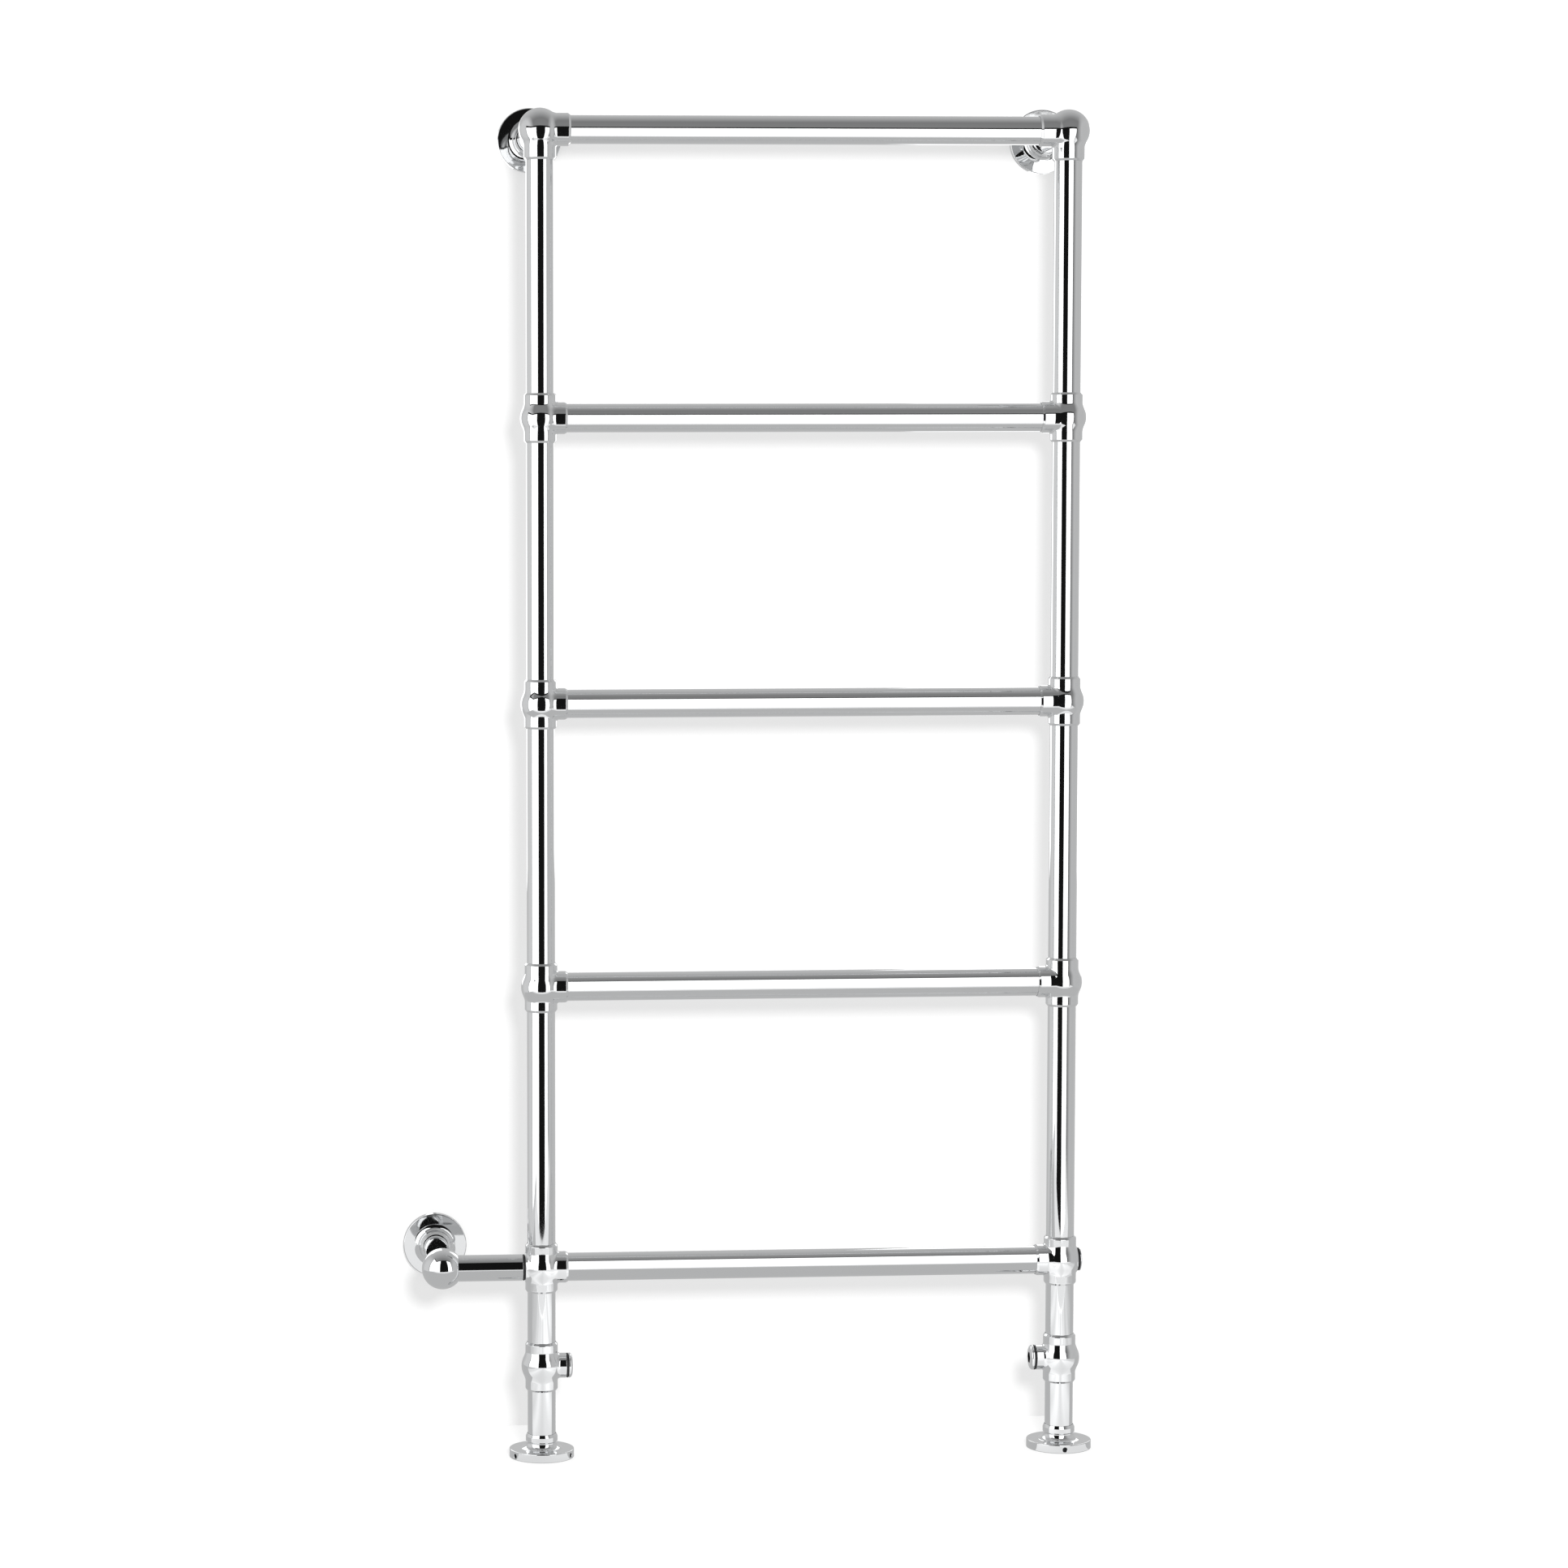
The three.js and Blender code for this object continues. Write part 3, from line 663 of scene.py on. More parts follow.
def fitting_piece(name, node, centre, bare_way, ports):
    """A casting in a node's place. One way gives the radius of its ball."""
    points, faces = fitting_shape(reach_from(node, centre, bare_way), ports)
    piece = mesh_piece(name, points, faces, "up", centre, CAST_FINISH)
    stands_for(piece, node)


def make_tee(side, number):
    node = f"tee_{side}_{number}"
    centre = on_upright(side, rail_height[number - 1])
    ports = upright_collars(node, centre)
    ports[INWARD[side]] = branch_collar(node, centre, INWARD[side])
    fitting_piece(f"tee_casting_{side}_{number}", node, centre, side, ports)


def make_corner(side):
    """The fitting at the top, with a collar at the back for the wall stay."""
    node = f"corner_ball_{side}"
    centre = on_upright(side, rail_height[-1])
    reach = reach_from(node, centre, "down")
    ways = ("down", INWARD[side], "back")
    ports = {way: collar_port(COLLAR_RADIUS, reach) for way in ways}
    fitting_piece(f"corner_casting_{side}", node, centre, "up", ports)


def make_lowest(side):
    """The fitting at the lowest rail, with a side port for the arm or the blank plug."""
    node = f"lower_ball_{side}"
    centre = on_upright(side, rail_height[0])
    ports = upright_collars(node, centre)
    ports[INWARD[side]] = branch_collar(node, centre, INWARD[side])
    boss = half_size("arm_oring" if side == "left" else "plug_oring", "z") + BOSS_MARGIN
    ports[side] = plain_port(boss, reach_from(node, centre, side), SPIGOT_FIT)
    fitting_piece(f"lowest_casting_{side}", node, centre, "front", ports)


def make_valve_body(side):
    node = f"valve_body_{side}"
    centre = on_upright(side, valve_height)
    ports = upright_collars(node, centre)
    stub = half_size(f"valve_oring_{side}", "z")
    reach = reach_from(node, centre, INWARD[side])
    ports[INWARD[side]] = plain_port(stub, reach, stub - COLLAR_WALL)
    fitting_piece(f"valve_casting_{side}", node, centre, side, ports)


def make_elbow():
    """The arm's ball: a hole bored straight in for each tube, and a smaller bore behind."""
    node = "arm_elbow_ball"
    centre = on_upright("left", rail_height[0])
    centre.x = middle("arm_wall_tube").x
    radius = reach_from(node, centre, "left")
    hole = ARM_RADIUS + FIT
    rim = hole + HOLE_RIM
    bore = ARM_RADIUS - 2 * TUBE_WALL
    outline = [
        (rim, math.sqrt(radius**2 - rim**2)),
        (hole, math.sqrt(radius**2 - hole**2), 0.3),
        (hole, ARM_RADIUS),
        (bore, ARM_RADIUS),
        (bore, bore + 1),
    ]
    port = {"radius": None, "bore": bore, "outline": outline}
    fitting_piece("arm_elbow_casting", node, centre, "left", {"right": port, "back": port})


def make_fittings():
    for side in SIDES:
        for number in range(2, rail_count):
            make_tee(side, number)
        make_corner(side)
        make_lowest(side)
        make_valve_body(side)
    make_elbow()


# ---------------------------------------------------------------- seals, plug, arm and valve caps

ORING_THICKNESS = 2.2
ORING_WIDTH = 2.6
ORING_EASE = 1.0
SEAL_SPACE = 2 * FIT + ORING_THICKNESS  # between a port's face and the head that closes it
SPIGOT_RADIUS = 10.5
SPIGOT_LENGTH = 9
PLUG_RIM = 1
PLUG_DOME = 2.4
DOME_STEPS = 14
STEM_RADIUS = 8.5
TIP_RADIUS = 6
KEY_ACROSS_FLATS = 12
KEY_DEPTH = 8
CAP_RIM = 1
CAP_HEIGHT = 4.4
CAP_FLAT = STEM_RADIUS + 0.1
BLADE_WIDTH = 4
BLADE_DEPTH = 3
TURNING_FIT = 0.6


def oring_piece(name, node, way, place):
    """An O-ring squeezed between two faces, from just past the lower one."""
    outer = half_size(node, "z")
    inner = outer - ORING_WIDTH
    bottom, top = FIT, FIT + ORING_THICKNESS
    corners = ((inner, bottom), (outer, bottom), (outer, top), (inner, top))
    outline = [(*corner, ORING_EASE) for corner in corners]
    piece = turned_piece(name, outline, way, place, RUBBER_FINISH, closed=True)
    stands_for(piece, node)


def port_face(side):
    """Middle of the flat face of a lowest fitting's side port."""
    centre = on_upright(side, rail_height[0])
    reach = reach_from(f"lower_ball_{side}", centre, side)
    return centre + WAYS[side].col[2] * reach * MM


def make_blank_plug():
    """A spigot with a rim and a shallow dome, part of a large sphere."""
    face = port_face("right")
    radius = half_size("side_port_plug", "z")
    rim = SEAL_SPACE + PLUG_RIM
    outline = [
        (0, -SPIGOT_LENGTH),
        (SPIGOT_RADIUS, -SPIGOT_LENGTH, 0.6),
        (SPIGOT_RADIUS, SEAL_SPACE),
        (radius, SEAL_SPACE, 0.25),
        (radius, rim, 0.4),
    ]
    bend = (radius**2 + PLUG_DOME**2) / (2 * PLUG_DOME)
    widest = math.asin(radius / bend)
    for step in range(1, DOME_STEPS):
        lean = widest * (1 - step / DOME_STEPS)
        rise = bend * (math.cos(lean) - math.cos(widest))
        outline.append((bend * math.sin(lean), rim + rise))
    outline.append((0, rim + PLUG_DOME))
    plug = turned_piece("blank_plug", outline, "right", face, TURNED_FINISH)
    stands_for(plug, "side_port_plug")
    oring_piece("blank_plug_seal", "plug_oring", "right", face)


def make_side_arm():
    """A tube that narrows to the spigot in the lowest left fitting."""
    face = port_face("left")
    low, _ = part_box("arm_tube")
    far_end = (face.x - low.x) / MM
    bore = ARM_RADIUS - TUBE_WALL
    spigot_bore = SPIGOT_RADIUS - TUBE_WALL
    outline = [
        (spigot_bore, -SPIGOT_LENGTH),
        (SPIGOT_RADIUS, -SPIGOT_LENGTH, 0.4),
        (SPIGOT_RADIUS, SEAL_SPACE),
        (ARM_RADIUS, SEAL_SPACE, 0.35),
        (ARM_RADIUS, far_end),
        (bore, far_end),
        (bore, SEAL_SPACE + TUBE_WALL),
        (spigot_bore, SEAL_SPACE + TUBE_WALL),
    ]
    arm = turned_piece("side_arm_tube", outline, "left", face, TUBE_FINISH, closed=True)
    stands_for(arm, "arm_tube")
    oring_piece("side_arm_seal", "arm_oring", "left", face)


def make_side_port_pieces():
    make_blank_plug()
    make_side_arm()


def valve_cap(side):
    """The spindle: a domed cap with the key's hexagon, its stem and the blade that turns
    the ball inside."""
    node = f"valve_spindle_{side}"
    way = INWARD[side]
    centre = on_upright(side, valve_height)
    radius = half_size(f"valve_oring_{side}", "z")
    top = reach_from(node, centre, way)
    face = top - CAP_HEIGHT
    ball = half_size(f"valve_ball_{side}", "y")
    stem_end = ball + TURNING_FIT
    stem_start = BORE_RADIUS + TURNING_FIT
    outline = [
        (0, stem_end),
        (TIP_RADIUS, stem_end, 0.3),
        (TIP_RADIUS, stem_start),
        (STEM_RADIUS, stem_start, 0.3),
        (STEM_RADIUS, face),
        (radius, face, 0.2),
        (radius, face + CAP_RIM),
    ]
    for step in range(1, DOME_STEPS):
        lean = math.pi / 2 * step / DOME_STEPS
        across = CAP_FLAT + (radius - CAP_FLAT) * math.cos(lean)
        outline.append((across, face + CAP_RIM + (CAP_HEIGHT - CAP_RIM) * math.sin(lean)))
    outline += [(CAP_FLAT, top), (0, top)]
    cap = turned_piece(f"valve_cap_{side}", outline, way, centre, TURNED_FINISH)

    half_width = BLADE_WIDTH / 2
    half_span = math.sqrt(TIP_RADIUS**2 - half_width**2)
    corners = [(half_span, half_width), (-half_span, half_width)]
    corners += [(-x, -y) for x, y in corners]
    bottom = ball - BLADE_DEPTH + TURNING_FIT / 2
    blade = prism_piece("blade", corners, bottom, stem_end + 1, way, centre, TURNED_FINISH)
    cap = cut_or_join(cap, blade, "UNION")
    key = hexagon(KEY_ACROSS_FLATS)
    socket = prism_piece("key", key, top - KEY_DEPTH, top + 1, way, centre, TURNED_FINISH)
    cap = cut_or_join(cap, socket, "DIFFERENCE")
    stands_for(cap, node, f"valve_plug_{side}")


def make_valves():
    for side in SIDES:
        valve_cap(side)
        way = INWARD[side]
        centre = on_upright(side, valve_height)
        reach = reach_from(f"valve_body_{side}", centre, way)
        face = centre + WAYS[way].col[2] * reach * MM
        oring_piece(f"valve_cap_seal_{side}", f"valve_oring_{side}", way, face)


# ---------------------------------------------------------------- flanges and set screws

FLANGE_RIM = 9.7
FLANGE_EDGE = 0.9
FLANGE_ROOF = 3
FLANGE_SKIRT = 6.7
FLARE_WIDTH = 9
FLARE_STEPS = 12
FLARE_CREASE = 0.3
NECK_WALL = 1.3
NECK_HEIGHT = 17.4
BEAD_WALL = 2.2
BEAD_HEIGHT = 9.6
BEAD_START = NECK_HEIGHT + BEAD_HEIGHT * 0.12
BEAD_SHOULDER = NECK_HEIGHT + BEAD_HEIGHT * 0.66
BEAD_LIP = 0.5
SET_SCREW_COUNT = 3
SET_SCREW_HOLE = 2.65
SET_SCREW_RADIUS = 2.4
SET_SCREW_LENGTH = 5.2
SET_SCREW_SUNK = 1.2
SET_SCREW_KEY = 2.5
SET_SCREW_EDGE = 0.35
SET_SCREW_POINT = 0.9  # length of the cone at its cup point
SET_SCREW_CUP = 0.7
SET_SCREW_FACETS = 32
HOLE_FACETS = 48
HOLE_MOUTH = 0.5  # the hole is this much wider at its mouth
HOLE_BEVEL = 0.55
HOLE_PAST = 3  # the cutting tool goes this far past the skirt
PLATE_THICKNESS = FLANGE_RIM - FLANGE_ROOF - FIT
SCREW_HEIGHT = (PLATE_THICKNESS + FLANGE_RIM) / 4 + FIT


def screw_tree():
    """Geometry Nodes for set screws: one screw instanced round a circle, pointing outwards."""
    sizes = {"Count": "Int", "Circle": "Float", "Height": "Float", "First": "Float"}
    tree, given = new_grower("set_screws", "Screws", {**sizes, "Screw": "Object"})
    links = {"Vertices": given["Count"], "Radius": given["Circle"]}
    circle = add(tree, "GeometryNodeMeshCircle", links)
    screw = add(tree, "GeometryNodeObjectInfo", {"Object": given["Screw"]})
    outwards = add(tree, "GeometryNodeInputPosition")
    links = {"Vector": outwards.outputs[0]}
    facing = add(tree, "FunctionNodeAlignRotationToVector", links, axis="Z")
    links = {
        "Points": circle.outputs[0],
        "Instance": screw.outputs["Geometry"],
        "Rotation": facing.outputs[0],
    }
    copies = add(tree, "GeometryNodeInstanceOnPoints", links)
    raised = add(tree, "ShaderNodeCombineXYZ", {2: given["Height"]})
    swung = add(tree, "ShaderNodeCombineXYZ", {2: given["First"]})
    links = {
        "Geometry": copies.outputs[0],
        "Translation": raised.outputs[0],
        "Rotation": swung.outputs[0],
    }
    on_flange = add(tree, "GeometryNodeTransform", links)
    set_in_place(tree, given, on_flange.outputs[0])
    return tree


def make_screw():
    """One cup-point set screw with a hexagon socket, along +Z with its head at the origin."""
    outline = [
        (0, -SET_SCREW_LENGTH + SET_SCREW_CUP),
        (SET_SCREW_RADIUS * 0.55, -SET_SCREW_LENGTH, 0.1),
        (SET_SCREW_RADIUS, -SET_SCREW_LENGTH + SET_SCREW_POINT),
        (SET_SCREW_RADIUS, -SET_SCREW_EDGE),
        (SET_SCREW_RADIUS - SET_SCREW_EDGE, 0),
        (0, 0),
    ]
    nowhere = Vector((0, 0, 0))
    facets = SET_SCREW_FACETS
    screw = turned_piece("set_screw", outline, "up", nowhere, SCREW_FINISH, around=facets)
    key = hexagon(SET_SCREW_KEY)
    socket = prism_piece("key", key, -SET_SCREW_KEY, 1, "up", nowhere, SCREW_FINISH)
    return cut_or_join(screw, socket, "DIFFERENCE")


def flange_outline(outer, tube_radius, height):
    """Rim, flat, concave flare, crease and rounded bead, hollow below for the plate."""
    bore = tube_radius + FIT
    recess = PLATE_THICKNESS + FIT
    plate = outer - FLANGE_SKIRT
    flare = TUBE_RADIUS + FLARE_WIDTH
    neck = TUBE_RADIUS + NECK_WALL
    bead = TUBE_RADIUS + BEAD_WALL
    outline = [
        (bore, recess),
        (plate, recess),
        (plate, 0),
        (outer, 0, 0.25),
        (outer, FLANGE_RIM, FLANGE_EDGE),
        (flare + FLARE_CREASE, FLANGE_RIM),
    ]
    for step in range(FLARE_STEPS + 1):
        lean = math.pi / 2 * step / FLARE_STEPS
        rise = (NECK_HEIGHT - FLANGE_RIM) * (1 - math.cos(lean))
        outline.append((flare - (flare - neck) * math.sin(lean), FLANGE_RIM + rise))
    outline += [
        (bead, BEAD_START, 0.5),
        (bead, BEAD_SHOULDER, 1.1),
        (bore + BEAD_LIP, height, 0.25),
        (bore, height),
    ]
    return outline


def drill(flange, outer, angle, way, foot):
    """Cuts the hole of one set screw through a flange's skirt."""
    mouth = SET_SCREW_HOLE + HOLE_MOUTH
    outline = [
        (0, 0),
        (SET_SCREW_HOLE, 0),
        (SET_SCREW_HOLE, FLANGE_SKIRT + HOLE_BEVEL),
        (mouth, FLANGE_SKIRT + 2 * HOLE_BEVEL),
        (mouth, FLANGE_SKIRT + HOLE_PAST),
        (0, FLANGE_SKIRT + HOLE_PAST),
    ]
    outwards = Vector((math.cos(angle), math.sin(angle), 0))
    turn = frame_of(outwards, (0, 0, 1))
    points, faces = turned_shape(outline, False, HOLE_FACETS)
    start = outwards * (outer - FLANGE_SKIRT - 1) + Vector((0, 0, SCREW_HEIGHT))
    points = [turn @ Vector(point) + start for point in points]
    hole = mesh_piece("hole", points, faces, way, foot, TURNED_FINISH)
    return cut_or_join(flange, hole, "DIFFERENCE")


def make_flange(place_name, tube_radius, way, first, screw, tree):
    node = f"flange_{place_name}"
    low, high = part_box(node)
    axis = WAYS[way].col[2]
    depth = abs((high - low).dot(axis))
    foot = (low + high) / 2 - axis * depth / 2
    outer = max(high - low) / 2 / MM
    outline = flange_outline(outer, tube_radius, depth / MM)
    name = f"{place_name}_flange"
    flange = turned_piece(name, outline, way, foot, TURNED_FINISH, closed=True)
    for n in range(SET_SCREW_COUNT):
        flange = drill(flange, outer, first + n * 2 * math.pi / SET_SCREW_COUNT, way, foot)
    stands_for(flange, node)

    values = {
        "Count": SET_SCREW_COUNT,
        "Circle": (outer - SET_SCREW_SUNK) * MM,
        "Height": SCREW_HEIGHT * MM,
        "First": first,
        "Turn": WAYS[way].to_euler(),
        "Place": foot,
        "Screw": screw,
        "Finish": SCREW_FINISH,
    }
    screws = grown(f"{place_name}_set_screws", tree, values, SCREW_FINISH)
    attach(screws, STILL)


def make_flanges():
    """The angles are those of the first set screw, from each flange's own x axis."""
    tree = screw_tree()
    screw = make_screw()
    quarter = math.pi / 2
    make_flange("floor_left", TUBE_RADIUS, "up", quarter, screw, tree)
    make_flange("floor_right", TUBE_RADIUS, "up", -quarter, screw, tree)
    make_flange("wall_left", TUBE_RADIUS, "front", math.pi, screw, tree)
    make_flange("wall_right", TUBE_RADIUS, "front", math.pi, screw, tree)
    make_flange("wall_arm", ARM_RADIUS, "front", 0, screw, tree)
    bpy.data.objects.remove(screw)


def finish_inner_pieces():
    """The pieces that stay as they are in the frame, inside the valves and flanges."""
    finishes = {
        "valve_ball": BALL_FINISH,
        "valve_seat": SEAT_FINISH,
        "valve_gland": GLAND_FINISH,
        "fixing_plate": PLATE_FINISH,
    }
    for name, piece in cad_nodes.items():
        for start, finish in finishes.items():
            if name.startswith(start):
                piece.data.materials.clear()
                piece.data.materials.append(finish)


# ---------------------------------------------------------------- camera, studio and floor


CAMERA_PLACE = (-0.6256, -4.6583, 1.1111)
CAMERA_TURN = (-4.185, -3.762, 0.159)  # pitch, yaw and roll in degrees
CAMERA_LENS = 93.66
CAMERA_SENSOR = 36
CAMERA_SHIFT = 0.2


def make_camera():
    """Stands to the left of the object, a little above its middle, and shifted to the right."""
    camera = bpy.data.objects.new("camera", bpy.data.cameras.new("camera"))
    bpy.context.scene.collection.objects.link(camera)
    bpy.context.scene.camera = camera
    camera.data.sensor_width = CAMERA_SENSOR
    camera.data.lens = CAMERA_LENS
    camera.data.shift_x = CAMERA_SHIFT
    pitch, yaw, roll = (math.radians(a) for a in CAMERA_TURN)
    turn = (
        Matrix.Rotation(yaw, 4, "Z")
        @ Matrix.Rotation(pitch, 4, "X")
        @ Matrix.Rotation(roll, 4, "Y")
        @ Matrix.Rotation(math.pi / 2, 4, "X")
    )
    camera.matrix_world = Matrix.Translation(CAMERA_PLACE) @ turn


# What the chrome sees beyond the windows, from -1 to 1: towards the back, and to the right
FRONT_TO_BACK = [(-1, 0.26), (-0.5, 0.24), (0, 0.42), (0.5, 0.56), (1, 0.6)]
LEFT_TO_RIGHT = [(-1, 0.74), (1, 0.58)]
SIDE_SHARE = [(-1, 1), (-0.86, 1), (-0.6, 0), (0.6, 0), (0.86, 1), (1, 1)]
BLACK = 0.008
WINDOW_GLOW = 1.6


def make_world():
    """A grey room for the chrome, darkest in front above the windows. The camera and the
    paper see plain white."""
    world = bpy.data.worlds.new("studio")
    bpy.context.scene.world = world
    world.use_nodes = True
    tree = world.node_tree
    tree.nodes.clear()
    way = add(tree, "ShaderNodeTexCoord").outputs["Generated"]
    apart = add(tree, "ShaderNodeSeparateXYZ", {0: way}).outputs

    def along(axis, stops):
        links = {"Value": apart[axis], "From Min": -1.0, "From Max": 1.0}
        share = add(tree, "ShaderNodeMapRange", links).outputs["Result"]
        greys = add(tree, "ShaderNodeValToRGB", {"Fac": share})
        marks = greys.color_ramp.elements
        for place, value in stops:
            first_or_last = marks[0] if place == -1 else marks[len(marks) - 1]
            mark = first_or_last if abs(place) == 1 else marks.new((place + 1) / 2)
            mark.color = (value, value, value, 1)
        return greys.outputs["Color"]

    seen = add(
        tree,
        "ShaderNodeMix",
        {
            "Factor": along(0, SIDE_SHARE),
            "A": along(1, FRONT_TO_BACK),
            "B": along(0, LEFT_TO_RIGHT),
        },
        data_type="RGBA",
    )
    path = add(tree, "ShaderNodeLightPath").outputs
    room = add(tree, "ShaderNodeBackground", {"Color": seen.outputs["Result"]})
    plain = add(tree, "ShaderNodeBackground", {"Color": (1, 1, 1, 1)})
    straight = add(
        tree,
        "ShaderNodeMath",
        {0: path["Is Camera Ray"], 1: path["Is Diffuse Ray"]},
        operation="MAXIMUM",
    )
    choice = add(
        tree,
        "ShaderNodeMixShader",
        {0: straight.outputs[0], 1: room.outputs[0], 2: plain.outputs[0]},
    )
    add(tree, "ShaderNodeOutputWorld", {"Surface": choice.outputs[0]})


KEY_PLACE = Vector((-0.11, -4.15, 1.54))
KEY_AIM = Vector((0, 0.1, 0.8))
KEY_WIDTH = 0.5
KEY_WATTS = 215


def make_key():
    """One soft light by the camera, which throws the soft shadows on the wall."""
    key = bpy.data.objects.new("key_light", bpy.data.lights.new("key_light", "AREA"))
    bpy.context.scene.collection.objects.link(key)
    key.data.shape = "DISK"
    key.data.size = KEY_WIDTH
    key.data.energy = KEY_WATTS
    key.location = KEY_PLACE
    key.rotation_euler = (KEY_PLACE - KEY_AIM).to_track_quat("Z", "Y").to_euler()
    key.visible_glossy = False
    key.visible_camera = False


def paper(glow_strength):
    """Matt white paper that glows a little, so that it stays white and its shadows soft.
    Its back doesn't show, so that the wall hides nothing from behind."""
    material, tree = new_material("matt_white_paper")
    matt = add(tree, "ShaderNodeBsdfDiffuse", {"Color": (0.25, 0.25, 0.25, 1)})
    glow = add(tree, "ShaderNodeEmission", {"Strength": glow_strength})
    both = add(tree, "ShaderNodeAddShader", {0: matt.outputs[0], 1: glow.outputs[0]})
    side = add(tree, "ShaderNodeNewGeometry")
    clear = add(tree, "ShaderNodeBsdfTransparent")
    links = {0: side.outputs["Backfacing"], 1: both.outputs[0], 2: clear.outputs[0]}
    shown = add(tree, "ShaderNodeMixShader", links)
    add(tree, "ShaderNodeOutputMaterial", {"Surface": shown.outputs[0]})
    return material


BAND_WIDTH = 0.16


def soft_pool(tree, strength, centre, half_size):
    """A glow that fades out from its centre, in soft bands that run away from the object."""
    place = add(tree, "ShaderNodeTexCoord")
    links = {0: place.outputs["Object"], "Location": centre, "Scale": half_size}
    spread = add(tree, "ShaderNodeMapping", links, vector_type="TEXTURE")
    cone = add(tree, "ShaderNodeTexGradient", {0: spread.outputs[0]}, gradient_type="SPHERICAL")
    links = {"Value": cone.outputs["Fac"]}
    pool = add(tree, "ShaderNodeMapRange", links, interpolation_type="SMOOTHSTEP")
    links = {0: place.outputs["Object"], "Scale": (1, 0.15, 1)}
    stretched = add(tree, "ShaderNodeMapping", links)
    links = {"Vector": stretched.outputs[0], "Scale": 1 / BAND_WIDTH, "Detail": 0.0}
    bands = add(tree, "ShaderNodeTexNoise", links).outputs["Fac"]
    links = {"Value": bands, "From Min": 0.3, "From Max": 0.7, "To Min": 0.6, "To Max": 1.15}
    banded = add(tree, "ShaderNodeMapRange", links)
    links = {0: pool.outputs["Result"], 1: banded.outputs["Result"]}
    both = add(tree, "ShaderNodeMath", links, operation="MULTIPLY")
    links = {0: both.outputs[0], 1: strength}
    return add(tree, "ShaderNodeMath", links, operation="MULTIPLY").outputs[0]


def card_glow(strength, clear=False, pool=None):
    """A glow, even or in a soft pool. A clear card adds its glow to what lies behind it."""
    material, tree = new_material("studio_card")
    if pool:
        strength = soft_pool(tree, strength, *pool)
    glow = add(tree, "ShaderNodeEmission", {"Strength": strength})
    if clear:
        through = add(tree, "ShaderNodeBsdfTransparent")
        glow = add(tree, "ShaderNodeAddShader", {0: glow.outputs[0], 1: through.outputs[0]})
    add(tree, "ShaderNodeOutputMaterial", {"Surface": glow.outputs[0]})
    return material


def sheet(name, corners, material):
    mesh = bpy.data.meshes.new(name)
    mesh.from_pydata(corners, [], [(0, 1, 2, 3)])
    mesh.materials.append(material)
    piece = bpy.data.objects.new(name, mesh)
    bpy.context.scene.collection.objects.link(piece)
    return piece


def flat(left, right, front, back, z):
    return [(left, front, z), (right, front, z), (right, back, z), (left, back, z)]


def standing(start, end, low, high):
    return [(*start, low), (*end, low), (*end, high), (*start, high)]


SHEET_CLEAR = 0.0003
PAPER_HALF_WIDTH = 1.3
PAPER_FRONT = -1.9
PAPER_TOP = 2.2
FLOOR_PAPER_GLOW = 0.7
WALL_PAPER_GLOW = 0.56


def make_paper():
    """The floor and wall that the camera sees, just clear of the flanges."""
    half, wall_y = PAPER_HALF_WIDTH, cad_high.y + SHEET_CLEAR
    wall = standing((-half, wall_y), (half, wall_y), -SHEET_CLEAR, PAPER_TOP)
    floor = flat(-half, half, PAPER_FRONT, wall_y, -SHEET_CLEAR)
    sheet("floor_paper", floor, paper(FLOOR_PAPER_GLOW)).visible_glossy = False
    sheet("wall_paper", wall, paper(WALL_PAPER_GLOW)).visible_glossy = False


WINDOW_AWAY = 1.05  # the windows stand this far in front of the uprights
WINDOW_FOOT = 0.06
WINDOW_TOP = 1.65
FRAME_TOP = 1.82
FRAME_WIDTH = 0.08
SIDE_FRAME_WIDTH = 0.05
FAR_LEFT = -1.5
GAP_LEFT = -0.69
GAP_RIGHT = 0.24
FAR_RIGHT = 0.99
SIDE_WINDOW_END = 0.19
BACK_AWAY = 1.5  # two more windows stand this far behind, for the views from there
BACK_FOOT = 0.5
BACK_WINDOWS = {"left": (-1.4, -0.3), "right": (0.45, 1.4)}
FLOOR_CHANGE = 0.8  # the floor is paler from this far in front of the uprights
FLOOR_HALF_WIDTH = 1.6
FLOOR_FRONT = 2.4
FLOOR_BEHIND = 0.6
PALE_FLOOR_GLOW = 1.0
NEAR_FLOOR_GLOW = 0.56
FILL_CLEAR = 0.01
FEET_FILL_GLOW = 0.74
FEET_FILL_HALF_WIDTH = 1.5
FEET_FILL_EDGE = 0.02
POOL_CENTRE = (0.05, -0.5, 0.0)  # from the uprights
POOL_HALF_SIZE = (1.6, 1.4, 1.0)
FEET = ("lower_leg", "upper_leg", "lowest_casting", "valve_c", "floor_")


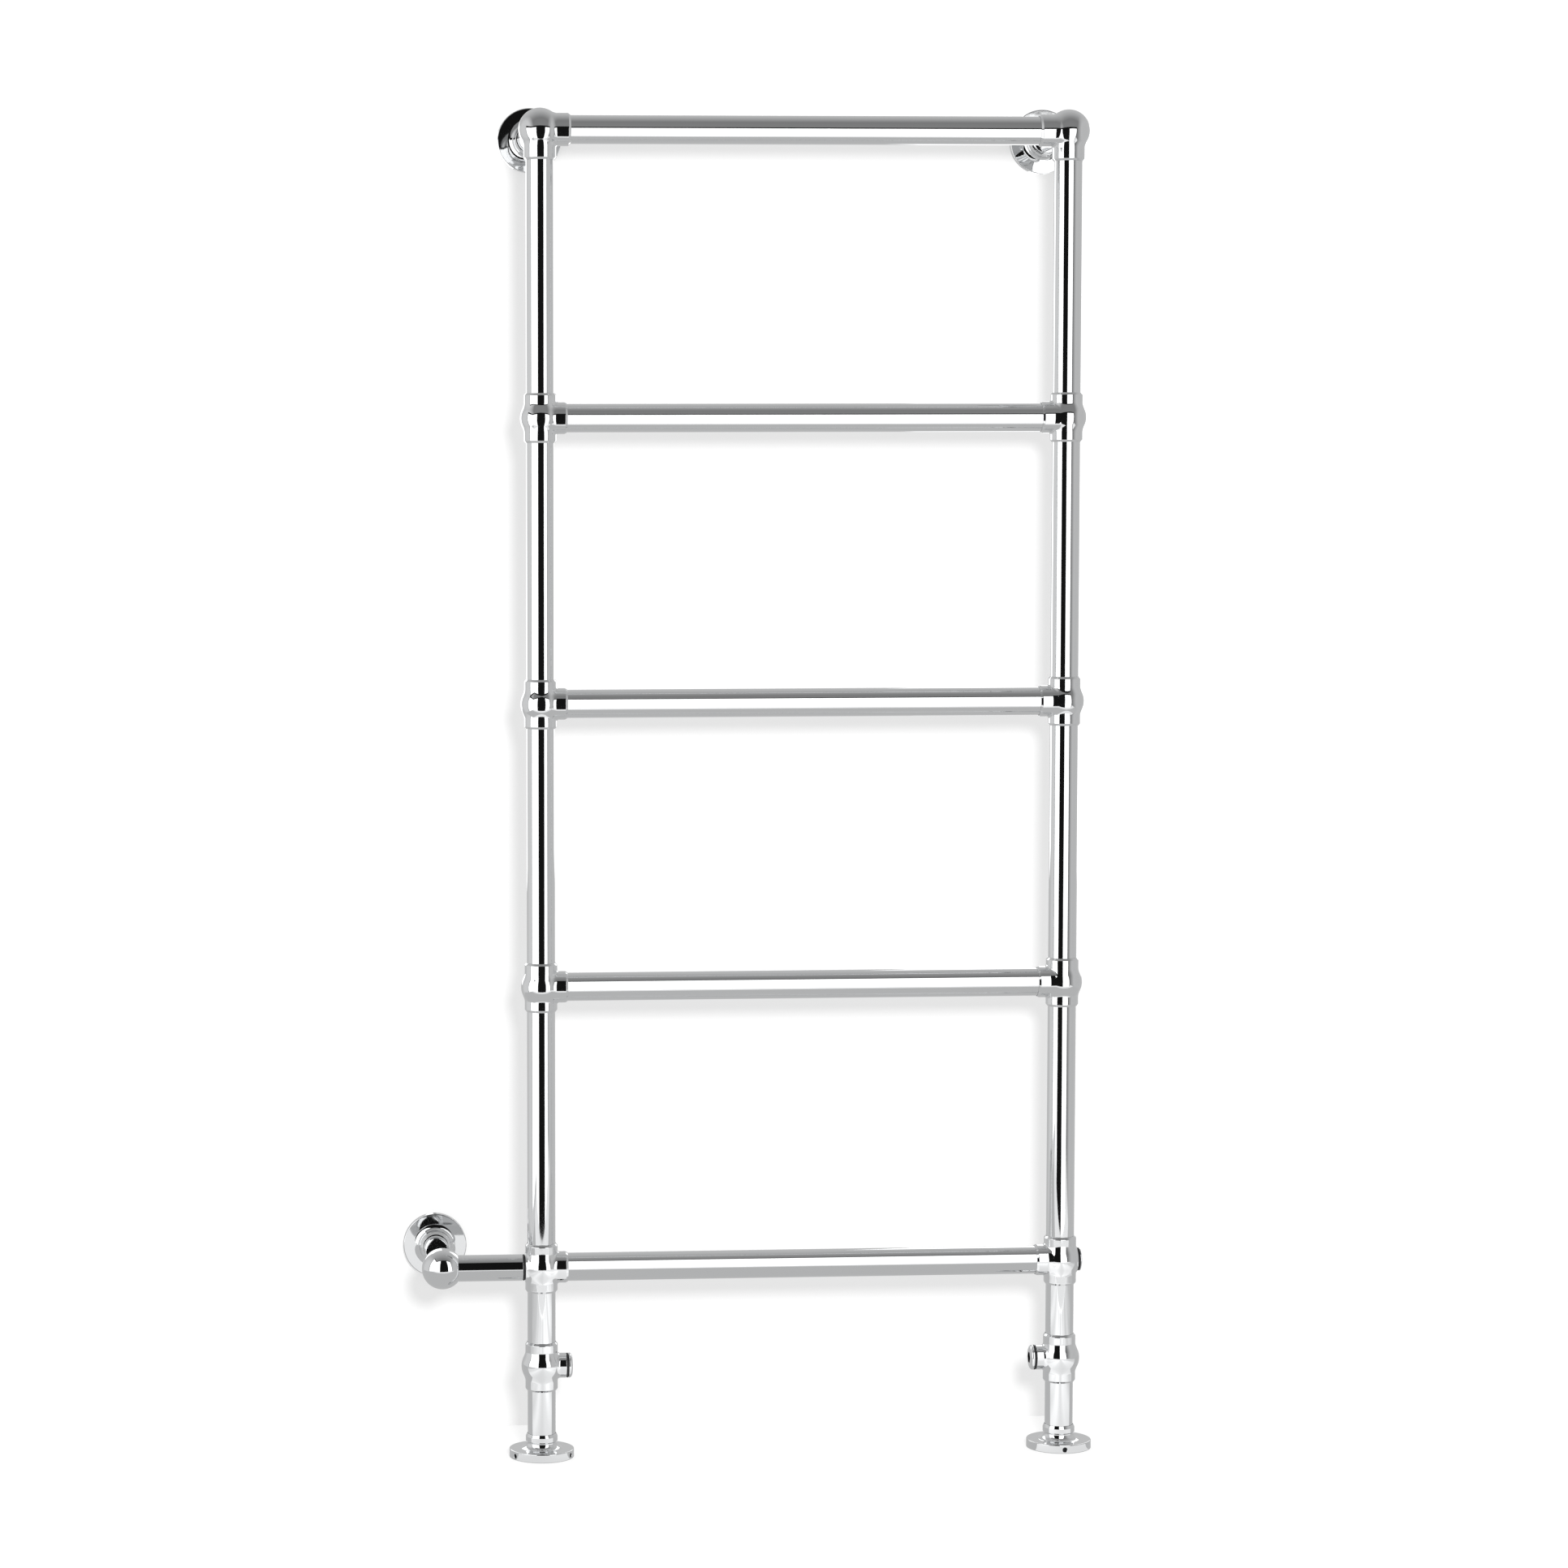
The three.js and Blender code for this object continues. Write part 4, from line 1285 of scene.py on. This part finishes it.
def make_windows(here, front):
    """Tall white windows either side of a dark gap that the camera looks through, with a
    dark edge round them, and two more behind."""
    side_end = here - SIDE_WINDOW_END
    edge_right = FAR_RIGHT + FRAME_WIDTH
    edge_back = side_end + SIDE_FRAME_WIDTH
    white, black = card_glow(WINDOW_GLOW), card_glow(BLACK)
    plans = [
        ("left_window", (FAR_LEFT, front), (GAP_LEFT, front), white),
        ("side_window", (FAR_LEFT, side_end), (FAR_LEFT, front), white),
        ("camera_gap", (GAP_LEFT, front), (GAP_RIGHT, front), black),
        ("right_window", (GAP_RIGHT, front), (FAR_RIGHT, front), white),
        ("right_edge", (FAR_RIGHT, front), (edge_right, front), black),
        ("side_edge", (FAR_LEFT, edge_back), (FAR_LEFT, side_end), black),
    ]
    cards = [
        sheet(name, standing(start, end, WINDOW_FOOT, WINDOW_TOP), material)
        for name, start, end, material in plans
    ]
    for name, start, end in (
        ("top_edge", (FAR_LEFT, front), (edge_right, front)),
        ("side_top_edge", (FAR_LEFT, edge_back), (FAR_LEFT, front)),
    ):
        cards.append(sheet(name, standing(start, end, WINDOW_TOP, FRAME_TOP), black))
    back = here + BACK_AWAY
    for side, (left, right) in BACK_WINDOWS.items():
        corners = standing((left, back), (right, back), BACK_FOOT, FRAME_TOP)
        cards.append(sheet(f"back_{side}_window", corners, white))
    return cards


def make_floor_cards(here, change):
    """The floor as the chrome sees it, paler further out."""
    half = FLOOR_HALF_WIDTH
    pale = flat(-half, half, here - FLOOR_FRONT, change, -SHEET_CLEAR)
    near = flat(-half, half, change, cad_high.y + FLOOR_BEHIND, -SHEET_CLEAR)
    return [
        sheet("pale_floor", pale, card_glow(PALE_FLOOR_GLOW)),
        sheet("near_floor", near, card_glow(NEAR_FLOOR_GLOW)),
    ]


def make_fills(here, front, change):
    """A card that lights only the rails, and one that lights only the pieces near the floor."""
    made = [piece for piece in bpy.data.objects if piece.name not in cad_nodes]
    away = front + FILL_CLEAR
    gap = standing((GAP_LEFT, away), (GAP_RIGHT, away), WINDOW_FOOT, WINDOW_TOP)
    for_rails = sheet("fill_for_rails", gap, card_glow(WINDOW_GLOW, clear=True))
    light_only(for_rails, [piece for piece in made if piece.name.startswith("rail_tube")])

    half = FEET_FILL_HALF_WIDTH
    low_fill = flat(-half, half, change - FEET_FILL_EDGE, here - FEET_FILL_EDGE, 2 * SHEET_CLEAR)
    centre = Vector(POOL_CENTRE) + Vector((0, here, 0))
    glow = card_glow(FEET_FILL_GLOW, clear=True, pool=(centre, POOL_HALF_SIZE))
    for_feet = sheet("fill_for_feet", low_fill, glow)
    light_only(for_feet, [piece for piece in made if piece.name.startswith(FEET)])
    return [for_rails, for_feet]


def make_cards():
    """What the chrome reflects. The camera doesn't see these cards, and they throw no
    shadow."""
    here = upright_axis["left"].y
    front = here - WINDOW_AWAY
    change = here - FLOOR_CHANGE
    cards = make_windows(here, front) + make_floor_cards(here, change)
    for card in cards + make_fills(here, front, change):
        card.visible_camera = False
        card.visible_diffuse = False
        card.visible_shadow = False


def light_only(card, pieces):
    """Links a card so that only these pieces see its glow."""
    group = bpy.data.collections.new(card.name + "_pieces")
    for piece in pieces:
        group.objects.link(piece)
    card.light_linking.receiver_collection = group


make_camera()
make_world()
make_key()
make_paper()
make_tubes()
make_fittings()
make_side_port_pieces()
make_valves()
make_flanges()
finish_inner_pieces()
make_cards()

bpy.context.scene.view_settings.view_transform = "Standard"
